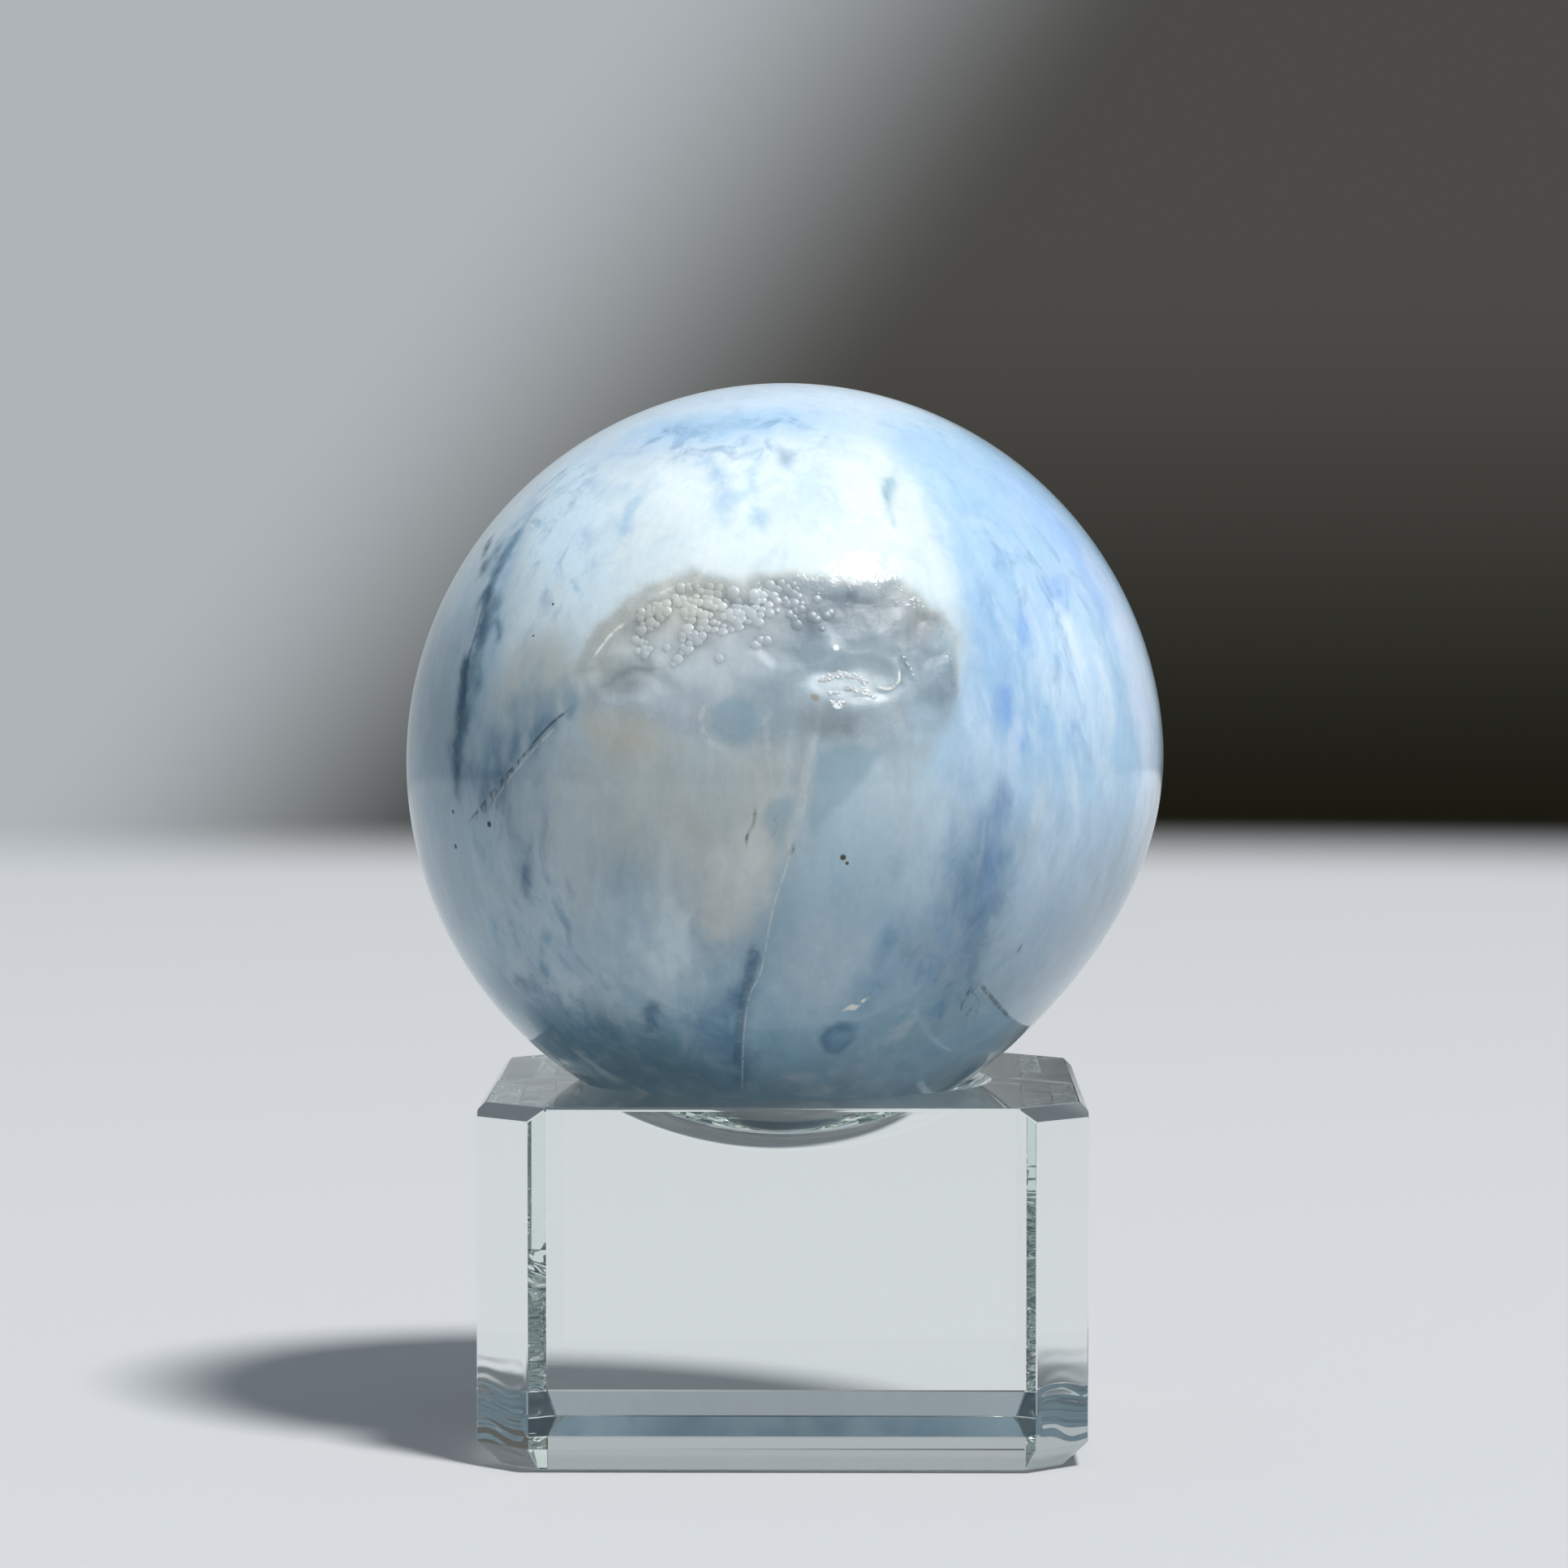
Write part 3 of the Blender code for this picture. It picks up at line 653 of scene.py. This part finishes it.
# Where the white feathers and the blue flecks are strong.
feathery = np.maximum.reduce([
    0.9 * cloud(-1.0, 13.0, 10.0, 6.5),
    0.8 * cloud(14.0, 4.0, 6.0, 8.0),
    0.5 * cloud(-8.0, -9.0, 8.0, 7.0),
    0.25 + 0.35 * (heading[:, 1] > 0) * smooth(heading[:, 2] + 0.4),
])
flecked = np.maximum.reduce([
    0.9 * cloud(-12.0, 12.8, 3.0, 6.5, 40),
    0.8 * cloud(-2.5, 17.0, 5.0, 2.4),
    0.8 * cloud(-13.0, -7.5, 3.6, 7.0),
    0.6 * cloud(-15.4, -0.5, 3.0, 3.5),
    0.7 * cloud(13.5, 7.5, 3.5, 6.0),
    0.5 * cloud(8.5, -7.0, 5.0, 6.5),
    0.2 + 0.35 * (heading[:, 1] > 0),
]) * (1 - in_pocket)


def keep(name, kind, values):
    """Keeps one value or colour for each of the stone's points, for its finish to read."""
    layer = opal_mesh.attributes.new(name, kind, "POINT")
    slot = "color" if kind == "FLOAT_COLOR" else "value"
    layer.data.foreach_set(slot, np.ascontiguousarray(values, np.float32).ravel())


keep("tint", "FLOAT_COLOR", np.column_stack([np.clip(tint, 0, 1), np.ones(len(tint))]))
point_values = {
    "pocket_edge": np.clip(pocket_edge, -4, 4), "dark_off": dark_off, "dark_strength": dark_strength,
    "pale_off": pale_off, "pale_strength": pale_strength, "window": window,
    "feathery": feathery, "flecked": flecked,
}
for name, values in point_values.items():
    keep(name, "FLOAT", values)

# Polished common opal: silica that light enters, so its shadows are soft and blue, under a
# glassy polish. White feathers and blue flecks run upright through it, and the rough chalcedony
# of the pocket is waxy and dull.
stone_finish = bpy.data.materials.new("polished_blue_opal")
stone_finish.use_nodes = True
tree = stone_finish.node_tree
opal_shader = tree.nodes["Principled BSDF"]
OPAL_SETTINGS = {
    "IOR": 1.45, "Subsurface Weight": 0.8, "Subsurface Scale": 0.003, "Subsurface Radius": (0.8, 0.9, 1.0),
}
for socket, value in OPAL_SETTINGS.items():
    opal_shader.inputs[socket].default_value = value

# The stone's patterns are noise: how wide a grain is in millimetres, how far it is drawn out upright,
# its detail, its twist and its shift. The real fine grain is finer still, and is drawn to show.
GRAINS = {
    "clouding": (3.5, 1.6, 5, 0.6, 0.2),
    "feathers": (1.6, 3.0, 4, 0.5, 0.0),
    "flecks": (1.5, 2.2, 5, 0.8, 0.1),
    "fine": (0.32, 1.6, 3, 0.0, 0.0),
    "frayed": (0.8, 1.0, 4, 0.0, 0.0),
    "gaps": (0.5, 1.0, 3, 0.0, 0.3),
    "rim": (0.7, 1.0, 4, 0.0, 0.0),
    "waves": (0.8, 1.0, 2, 0.0, 0.0),
    "crumbs": (0.3, 1.0, 3, 0.0, 0.0),
}
place = add_node(tree, "ShaderNodeTexCoord").outputs["Object"]
kept = {}
for name in point_values:
    kept[name] = add_node(tree, "ShaderNodeAttribute", attribute_name=name).outputs["Fac"]
grain = {}
for name, (wide, upright, detail, twist, shift) in GRAINS.items():
    squeezed = add_node(
        tree, "ShaderNodeVectorMath", {0: place, 1: (1, 1, 1 / upright)}, operation="MULTIPLY"
    )
    moved = add_node(tree, "ShaderNodeVectorMath", {0: squeezed.outputs[0], 1: (shift, shift, shift)})
    cells = add_node(
        tree, "ShaderNodeTexNoise",
        {"Vector": moved.outputs[0], "Scale": 1 / (wide * MM), "Detail": detail, "Roughness": 0.6,
         "Distortion": twist},
    )
    grain[name] = cells.outputs["Fac"]

# Laid over the stone's own colour: where a pattern begins and is full, how strong it is and where on
# the stone, its colour and how it mixes.
LAYERS = [
    ("clouding", 0.3, 0.7, 0.35, None, "#c3d3dc", "SOFT_LIGHT"),
    ("feathers", 0.4, 0.7, 0.38, "feathery", "#eff6f8", "MIX"),
    ("flecks", 0.46, 0.7, 0.6, "flecked", "#8aaccb", "MULTIPLY"),
]
colour = add_node(tree, "ShaderNodeAttribute", attribute_name="tint").outputs["Color"]
for name, start, full, strength, where, layer_colour, way in LAYERS:
    shown = add_node(
        tree, "ShaderNodeMapRange", {"Value": grain[name], "From Min": start, "From Max": full},
        interpolation_type="SMOOTHSTEP",
    )
    there = add_node(
        tree, "ShaderNodeMath", {0: shown.outputs[0], 1: kept[where] if where else 1.0}, operation="MULTIPLY"
    )
    share = add_node(tree, "ShaderNodeMath", {0: there.outputs[0], 1: strength}, operation="MULTIPLY")
    layer = add_node(
        tree, "ShaderNodeMix", {0: share.outputs[0], 6: colour, 7: linear(layer_colour)},
        data_type="RGBA", blend_type=way,
    )
    colour = layer.outputs[2]
brightness = add_node(
    tree, "ShaderNodeMapRange",
    {"Value": grain["fine"], "From Min": 0.3, "From Max": 0.7, "To Min": 0.97, "To Max": 1.03},
)
grained = add_node(
    tree, "ShaderNodeVectorMath", {0: colour, "Scale": brightness.outputs["Result"]}, operation="SCALE"
)

# The clear windows look teal, and their edges fray into the stone round them.
window_frayed = add_node(
    tree, "ShaderNodeMath", {0: grain["frayed"], 1: 0.5, 2: kept["window"]}, operation="MULTIPLY_ADD"
)
window_share = add_node(
    tree, "ShaderNodeMapRange",
    {"Value": window_frayed.outputs[0], "From Min": 0.1, "From Max": 0.65, "To Max": 0.5},
    interpolation_type="SMOOTHSTEP",
)
windowed = add_node(
    tree, "ShaderNodeMix", {0: window_share.outputs[0], 6: grained.outputs[0], 7: linear("#84a0ad")},
    data_type="RGBA",
)
colour = windowed.outputs[2]

# Sharp marks, broken by small gaps: which, how much shows even in a gap, and the colour.
gaps = add_node(
    tree, "ShaderNodeMapRange", {"Value": grain["gaps"], "From Min": 0.36, "From Max": 0.5},
    interpolation_type="SMOOTHSTEP",
)
# The pale marks are the stone's pale lines and painted glints.
for name, least, mark_colour in (("dark", 0.4, "#33495a"), ("pale", 0.0, "#e6e6df")):
    off = add_node(tree, "ShaderNodeMath", {0: kept[f"{name}_off"]}, operation="ABSOLUTE")
    on_mark = add_node(
        tree, "ShaderNodeMapRange", {"Value": off.outputs[0], "From Min": 1.3, "From Max": 0.4},
        interpolation_type="SMOOTHSTEP",
    )
    strong = add_node(
        tree, "ShaderNodeMath", {0: on_mark.outputs[0], 1: kept[f"{name}_strength"]}, operation="MULTIPLY"
    )
    unbroken = add_node(tree, "ShaderNodeMath", {0: gaps.outputs[0], 1: least}, operation="MAXIMUM")
    share = add_node(
        tree, "ShaderNodeMath", {0: strong.outputs[0], 1: unbroken.outputs[0]}, operation="MULTIPLY"
    )
    marked = add_node(
        tree, "ShaderNodeMix", {0: share.outputs[0], 6: colour, 7: linear(mark_colour)}, data_type="RGBA"
    )
    colour = marked.outputs[2]

# Dark mineral spots: colour, place and half width.
SPOTS = [
    ("#1d2a33", -14.9, -2.6, 0.17), ("#33434c", -16.9, -2.1, 0.12), ("#2b3b44", -16.8, -3.9, 0.15),
    ("#453f2c", 3.1, -3.9, 0.16), ("#5a5340", 3.3, -4.2, 0.1), ("#2a3338", 2.9, 5.8, 0.08),
    ("#3c4a50", -11.6, 8.6, 0.08), ("#4d5a5e", -12.6, 7.0, 0.07),
]
for spot_colour, x, z, half_width in SPOTS:
    middle = Vector(on_ball(x, z)) * MM + Vector((0, 0, STONE_MIDDLE * MM))
    away = add_node(tree, "ShaderNodeVectorMath", {0: place, 1: middle}, operation="DISTANCE")
    rim, core = 1.25 * half_width * MM, 0.6 * half_width * MM
    share = add_node(
        tree, "ShaderNodeMapRange", {"Value": away.outputs["Value"], "From Min": rim, "From Max": core},
        interpolation_type="SMOOTHSTEP",
    )
    spotted = add_node(
        tree, "ShaderNodeMix", {0: share.outputs[0], 6: colour, 7: linear(spot_colour)}, data_type="RGBA"
    )
    colour = spotted.outputs[2]
tree.links.new(colour, opal_shader.inputs["Base Color"])

# The polish ends at the pocket, along a ragged line, and along the height where its floor comes up
# flush. Beyond it the chalcedony is dull and crumbly, and the upper rim is faintly wavy.
POLISHED, WAXY = 0.07, 0.45
FLUSH_HEIGHT = 37.4
RIM_RAGGED = 4.0
WAVE_HEIGHT, CRUMB_HEIGHT = 0.06, 0.02
height = add_node(tree, "ShaderNodeSeparateXYZ", {0: place}).outputs["Z"]
above_flush = add_node(
    tree, "ShaderNodeMath", {0: height, 1: 1 / MM, 2: -FLUSH_HEIGHT}, operation="MULTIPLY_ADD"
)
inwards = add_node(
    tree, "ShaderNodeMath", {0: kept["pocket_edge"], 1: above_flush.outputs[0]}, operation="MINIMUM"
)
drawn_out = add_node(
    tree, "ShaderNodeMath", {0: inwards.outputs[0], 1: RIM_RAGGED / 2}, operation="SUBTRACT"
)
ragged = add_node(
    tree, "ShaderNodeMath", {0: grain["rim"], 1: RIM_RAGGED, 2: drawn_out.outputs[0]},
    operation="MULTIPLY_ADD",
)
within = add_node(
    tree, "ShaderNodeMapRange", {"Value": ragged.outputs[0], "From Min": -0.1, "From Max": 0.6},
    interpolation_type="SMOOTHSTEP",
)
dull = add_node(tree, "ShaderNodeMapRange", {"Value": within.outputs[0], "To Min": POLISHED, "To Max": WAXY})
tree.links.new(dull.outputs["Result"], opal_shader.inputs["Roughness"])
near_pocket = add_node(
    tree, "ShaderNodeMapRange", {"Value": kept["pocket_edge"], "From Min": -2.6, "From Max": -0.1},
    interpolation_type="SMOOTHSTEP",
)
high_up = add_node(
    tree, "ShaderNodeMapRange", {"Value": height, "From Min": 42.0 * MM, "From Max": 45.0 * MM},
    interpolation_type="SMOOTHSTEP",
)
outside = add_node(tree, "ShaderNodeMath", {0: 1.0, 1: within.outputs[0]}, operation="SUBTRACT")
relief_height = 0.0
for name, reach, masks in (
    ("waves", WAVE_HEIGHT, (near_pocket, outside, high_up)), ("crumbs", CRUMB_HEIGHT, (within,)),
):
    rise = grain[name]
    for mask in masks:
        masked = add_node(tree, "ShaderNodeMath", {0: rise, 1: mask.outputs[0]}, operation="MULTIPLY")
        rise = masked.outputs[0]
    raised = add_node(
        tree, "ShaderNodeMath", {0: rise, 1: reach * MM, 2: relief_height}, operation="MULTIPLY_ADD"
    )
    relief_height = raised.outputs[0]
relief = add_node(tree, "ShaderNodeBump", {"Height": relief_height, "Distance": 1.0, "Strength": 1.0})
tree.links.new(relief.outputs["Normal"], opal_shader.inputs["Normal"])
opal_mesh.materials.append(stone_finish)
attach(opal, "root")
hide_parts("opal_sphere")

# The bubbles and the crust of the pocket. The chalcedony grew as small round bubbles, crowded in
# its upper half, and where one large bubble broke open its wall left a white, splintered crust.
# They are one with the stone, and sit in the pocket's own surface.


def grow(name, patch, finish, settings, sharp):
    """Covers a patch of the stone with grains, as one plain mesh.

    Flatness is a grain's height to its width, and Sunk how far it goes in, as a share of that height.
    """
    tree = bpy.data.node_groups.new(name, "GeometryNodeTree")
    tree.interface.new_socket("Geometry", in_out="INPUT", socket_type="NodeSocketGeometry")
    tree.interface.new_socket("Geometry", in_out="OUTPUT", socket_type="NodeSocketGeometry")
    sockets = {}
    for label in settings:
        kind = "NodeSocketInt" if label == "Seed" else "NodeSocketFloat"
        sockets[label] = tree.interface.new_socket(label, in_out="INPUT", socket_type=kind).identifier
    given = tree.nodes.new("NodeGroupInput").outputs
    points = add_node(
        tree, "GeometryNodeDistributePointsOnFaces",
        {"Mesh": given["Geometry"], "Distance Min": given["Closest"], "Density Max": given["Density"],
         "Seed": given["Seed"]}, distribute_method="POISSON",
    )
    fineness = 1 if sharp else 2
    one_grain = add_node(tree, "GeometryNodeMeshIcoSphere", {"Radius": 1.0, "Subdivisions": fineness})
    smoothed = add_node(
        tree, "GeometryNodeSetShadeSmooth", {"Geometry": one_grain.outputs[0], "Shade Smooth": not sharp}
    )
    size = add_node(
        tree, "FunctionNodeRandomValue",
        {"Min": given["Smallest"], "Max": given["Largest"], "Seed": given["Seed"]}, data_type="FLOAT",
    )
    flat = add_node(tree, "ShaderNodeCombineXYZ", {0: 1.0, 1: 1.0, 2: given["Flatness"]})
    scale = add_node(
        tree, "ShaderNodeVectorMath", {0: flat.outputs[0], "Scale": size.outputs["Value"]}, operation="SCALE"
    )
    set_out = add_node(
        tree, "GeometryNodeInstanceOnPoints",
        {"Points": points.outputs["Points"], "Instance": smoothed.outputs[0],
         "Rotation": points.outputs["Rotation"], "Scale": scale.outputs[0]},
    )
    tilt = add_node(
        tree, "FunctionNodeRandomValue",
        {"Min": (-0.9, -0.9, -3.1), "Max": (0.9, 0.9, 3.1), "Seed": given["Seed"]}, data_type="FLOAT_VECTOR",
    )
    turned = add_node(
        tree, "GeometryNodeRotateInstances",
        {"Instances": set_out.outputs[0], "Rotation": tilt.outputs["Value"] if sharp else (0.0, 0.0, 0.0)},
    )
    into_stone = add_node(tree, "ShaderNodeMath", {0: given["Sunk"], 1: -1.0}, operation="MULTIPLY")
    inward = add_node(tree, "ShaderNodeCombineXYZ", {0: 0.0, 1: 0.0, 2: into_stone.outputs[0]})
    sunk = add_node(
        tree, "GeometryNodeTranslateInstances",
        {"Instances": turned.outputs[0], "Translation": inward.outputs[0]},
    )
    real = add_node(tree, "GeometryNodeRealizeInstances", {"Geometry": sunk.outputs[0]})
    finished = add_node(tree, "GeometryNodeSetMaterial", {"Geometry": real.outputs[0], "Material": finish})
    tree.links.new(finished.outputs[0], tree.nodes.new("NodeGroupOutput").inputs[0])

    patch_mesh = bpy.data.meshes.new_from_object(opal)
    cut = bmesh.new()
    cut.from_mesh(patch_mesh)
    outside = [vert for vert in cut.verts if not patch[vert.index]]
    bmesh.ops.delete(cut, geom=outside, context="VERTS")
    cut.to_mesh(patch_mesh)
    cut.free()
    piece = bpy.data.objects.new(name, patch_mesh)
    bpy.context.scene.collection.objects.link(piece)
    modifier = piece.modifiers.new("grains", "NODES")
    modifier.node_group = tree
    for label, value in settings.items():
        modifier[sockets[label]] = value
    made = bpy.data.meshes.new_from_object(piece.evaluated_get(bpy.context.evaluated_depsgraph_get()))
    piece.modifiers.clear()
    piece.data = made
    made.name = name
    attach(piece, "root")
    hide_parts("opal_sphere")


# White broken chalcedony: the same silica, splintered, so its faces glint and its mass is white.
crust_finish = bpy.data.materials.new("splintered_white_chalcedony")
crust_finish.use_nodes = True
crust_shader = crust_finish.node_tree.nodes["Principled BSDF"]
CRUST_SETTINGS = {
    "Base Color": linear("#f3f8f9"), "Roughness": 0.12, "IOR": 1.54, "Subsurface Weight": 0.5,
    "Subsurface Scale": 0.0005, "Subsurface Radius": (1.0, 1.0, 1.0),
}
for socket, value in CRUST_SETTINGS.items():
    crust_shader.inputs[socket].default_value = value

# Waxy grey chalcedony: each bubble has the stone's own colour where it grew, under a dull shine.
bubble_finish = bpy.data.materials.new("waxy_grey_chalcedony")
bubble_finish.use_nodes = True
tree = bubble_finish.node_tree
bubble_shader = tree.nodes["Principled BSDF"]
BUBBLE_SETTINGS = {"Roughness": 0.4, "IOR": 1.54}
for socket, value in BUBBLE_SETTINGS.items():
    bubble_shader.inputs[socket].default_value = value
bubble_tint = add_node(tree, "ShaderNodeAttribute", attribute_name="tint")
bubble_shade = add_node(
    tree, "ShaderNodeVectorMath", {0: bubble_tint.outputs["Color"], "Scale": 0.92}, operation="SCALE"
)
tree.links.new(bubble_shade.outputs[0], bubble_shader.inputs["Base Color"])

# The bubbles' patch lies inside the pocket, above and to the left, with torn edges and gaps.
wavy = np.array([noise.noise(Vector(h) * STONE_RADIUS / 1.6) for h in heading])
upper = (pocket_edge > 0.45 + 0.5 * torn) & (flat_z > 6.6 + 1.6 * torn)
bubbly = upper & (flat_x < 1.2 + 2.4 * torn) & (flat_x > -7.4 + torn) & (wavy > -0.22)
grow("chalcedony_bubbles", bubbly, bubble_finish, {
    "Closest": 0.26 * MM, "Density": 3e7, "Smallest": 0.24 * MM, "Largest": 0.5 * MM, "Flatness": 0.4,
    "Sunk": 0.72, "Seed": 4,
}, False)

# The broken wall's splinters: the places that each line of them passes, and its half width.
SPLINTERS = [
    ([(2.0, 4.9), (2.8, 5.3), (3.7, 5.2), (4.3, 4.9)], 0.17), ([(3.3, 4.6), (4.2, 4.4), (4.7, 4.1)], 0.14),
    ([(4.7, 4.7), (5.4, 4.5), (5.9, 4.9), (5.9, 5.5)], 0.05), ([(6.1, 6.2), (6.4, 5.6), (6.6, 5.1)], 0.04),
    ([(2.5, 3.9), (3.0, 3.8)], 0.13), ([(2.2, 4.4), (3.0, 4.3)], 0.08),
]
broken_wall = np.zeros(len(heading), bool)
for line, half_width in SPLINTERS:
    near, _ = past_line(flat_x, flat_z, line)
    broken_wall |= front & (near < half_width + 0.08 * wavy)
grow("broken_crust", broken_wall, crust_finish, {
    "Closest": 0.06 * MM, "Density": 1.5e8, "Smallest": 0.04 * MM, "Largest": 0.15 * MM, "Flatness": 0.5,
    "Sunk": 0.0, "Seed": 9,
}, True)


# The ground. A plain pale floor that fades into the backdrop where the photograph's does.
FLOOR_REACH = 620
FLOOR_FADES_FROM = 460
FLOOR_DROP = 0.05
floor_mesh = bpy.data.meshes.new("floor")
disc = bmesh.new()
bmesh.ops.create_circle(disc, cap_ends=True, segments=96, radius=FLOOR_REACH * MM)
bmesh.ops.triangulate(disc, faces=disc.faces)
bmesh.ops.translate(disc, verts=disc.verts, vec=(0, 0, -FLOOR_DROP * MM))
disc.to_mesh(floor_mesh)
disc.free()
floor = bpy.data.objects.new("floor", floor_mesh)
bpy.context.scene.collection.objects.link(floor)
floor_finish = bpy.data.materials.new("pale_floor")
floor_finish.use_nodes = True
tree = floor_finish.node_tree
floor_shader = tree.nodes["Principled BSDF"]
floor_shader.inputs["Base Color"].default_value = linear("#c9cacb")
floor_shader.inputs["Roughness"].default_value = 0.9
where = add_node(tree, "ShaderNodeTexCoord")
far = add_node(tree, "ShaderNodeVectorMath", {0: where.outputs["Object"]}, operation="LENGTH")
fade = add_node(
    tree, "ShaderNodeMapRange",
    {"Value": far.outputs["Value"], "From Min": FLOOR_FADES_FROM * MM, "From Max": FLOOR_REACH * MM},
    interpolation_type="SMOOTHSTEP",
)
clear = add_node(tree, "ShaderNodeBsdfTransparent")
mixed = add_node(
    tree, "ShaderNodeMixShader",
    {0: fade.outputs["Result"], 1: floor_shader.outputs["BSDF"], 2: clear.outputs["BSDF"]},
)
tree.links.new(mixed.outputs["Shader"], tree.nodes["Material Output"].inputs["Surface"])
floor_mesh.materials.append(floor_finish)

# The studio. A plain surround: behind the stone it is pale on the left and falls along a slope to
# dark on the right, and darker again low down; the sides are grey and the ceiling is pale. One
# softbox stands well off, high in front on the right.
world = bpy.data.worlds.new("studio")
bpy.context.scene.world = world
world.use_nodes = True
tree = world.node_tree
surround = tree.nodes["Background"]
where = add_node(tree, "ShaderNodeTexCoord")
facing = add_node(tree, "ShaderNodeSeparateXYZ", {0: where.outputs["Generated"]})
lower = add_node(tree, "ShaderNodeMath", {0: facing.outputs["Z"], 1: -0.75}, operation="MULTIPLY")
slope = add_node(tree, "ShaderNodeMath", {0: facing.outputs["X"], 1: lower.outputs[0]}, operation="ADD")

# Its shades: the direction along which one turns to the other, from where to where, and both, where
# None is the shade made so far. The dark side, the backdrop, the room and the ceiling.
SHADES = [
    (facing.outputs["Z"], -0.06, 0.04, "#191810", "#4c4b47"),
    (slope.outputs[0], -0.097, -0.007, "#aeb4b8", None),
    (facing.outputs["Y"], 0.3, 0.97, "#787c80", None),
    (facing.outputs["Z"], 0.15, 0.8, None, "#8a939c"),
]
shade = None
for direction, start, end, one, other in SHADES:
    turning = add_node(
        tree, "ShaderNodeMapRange", {"Value": direction, "From Min": start, "From Max": end},
        interpolation_type="SMOOTHSTEP",
    )
    turned = add_node(
        tree, "ShaderNodeMix",
        {0: turning.outputs[0], 6: linear(one) if one else shade, 7: linear(other) if other else shade},
        data_type="RGBA",
    )
    shade = turned.outputs[2]
tree.links.new(shade, surround.inputs["Color"])
surround.inputs["Strength"].default_value = 1.0

SOFTBOX_HEADING = Vector((0.33, -0.38, 0.86)).normalized()
SOFTBOX_DISTANCE = 4.0
softbox_light = bpy.data.lights.new("softbox", "AREA")
softbox_light.shape = "DISK"
softbox_light.size = 0.75
softbox_light.energy = 176
softbox = bpy.data.objects.new("softbox", softbox_light)
softbox.location = Vector((0, 0, STONE_MIDDLE * MM)) + SOFTBOX_HEADING * SOFTBOX_DISTANCE
softbox.rotation_euler = SOFTBOX_HEADING.to_track_quat("Z", "Y").to_euler()
bpy.context.scene.collection.objects.link(softbox)

# The camera stands where the photographer's did, a little above the stone's middle.
camera_data = bpy.data.cameras.new("camera")
camera_data.lens = 143.6
camera_data.sensor_width = 36
camera_data.clip_start = 0.01
camera_data.clip_end = 20
camera = bpy.data.objects.new("camera", camera_data)
camera.location = (3.63 * MM, -330.3 * MM, 50.0 * MM)
camera.rotation_euler = (math.radians(90 - 2.733), 0, math.radians(0.64))
bpy.context.scene.collection.objects.link(camera)
bpy.context.scene.camera = camera
bpy.context.scene.view_settings.view_transform = "Standard"
bpy.context.scene.cycles.max_bounces = 32
bpy.context.scene.cycles.transmission_bounces = 32
bpy.context.scene.cycles.glossy_bounces = 32
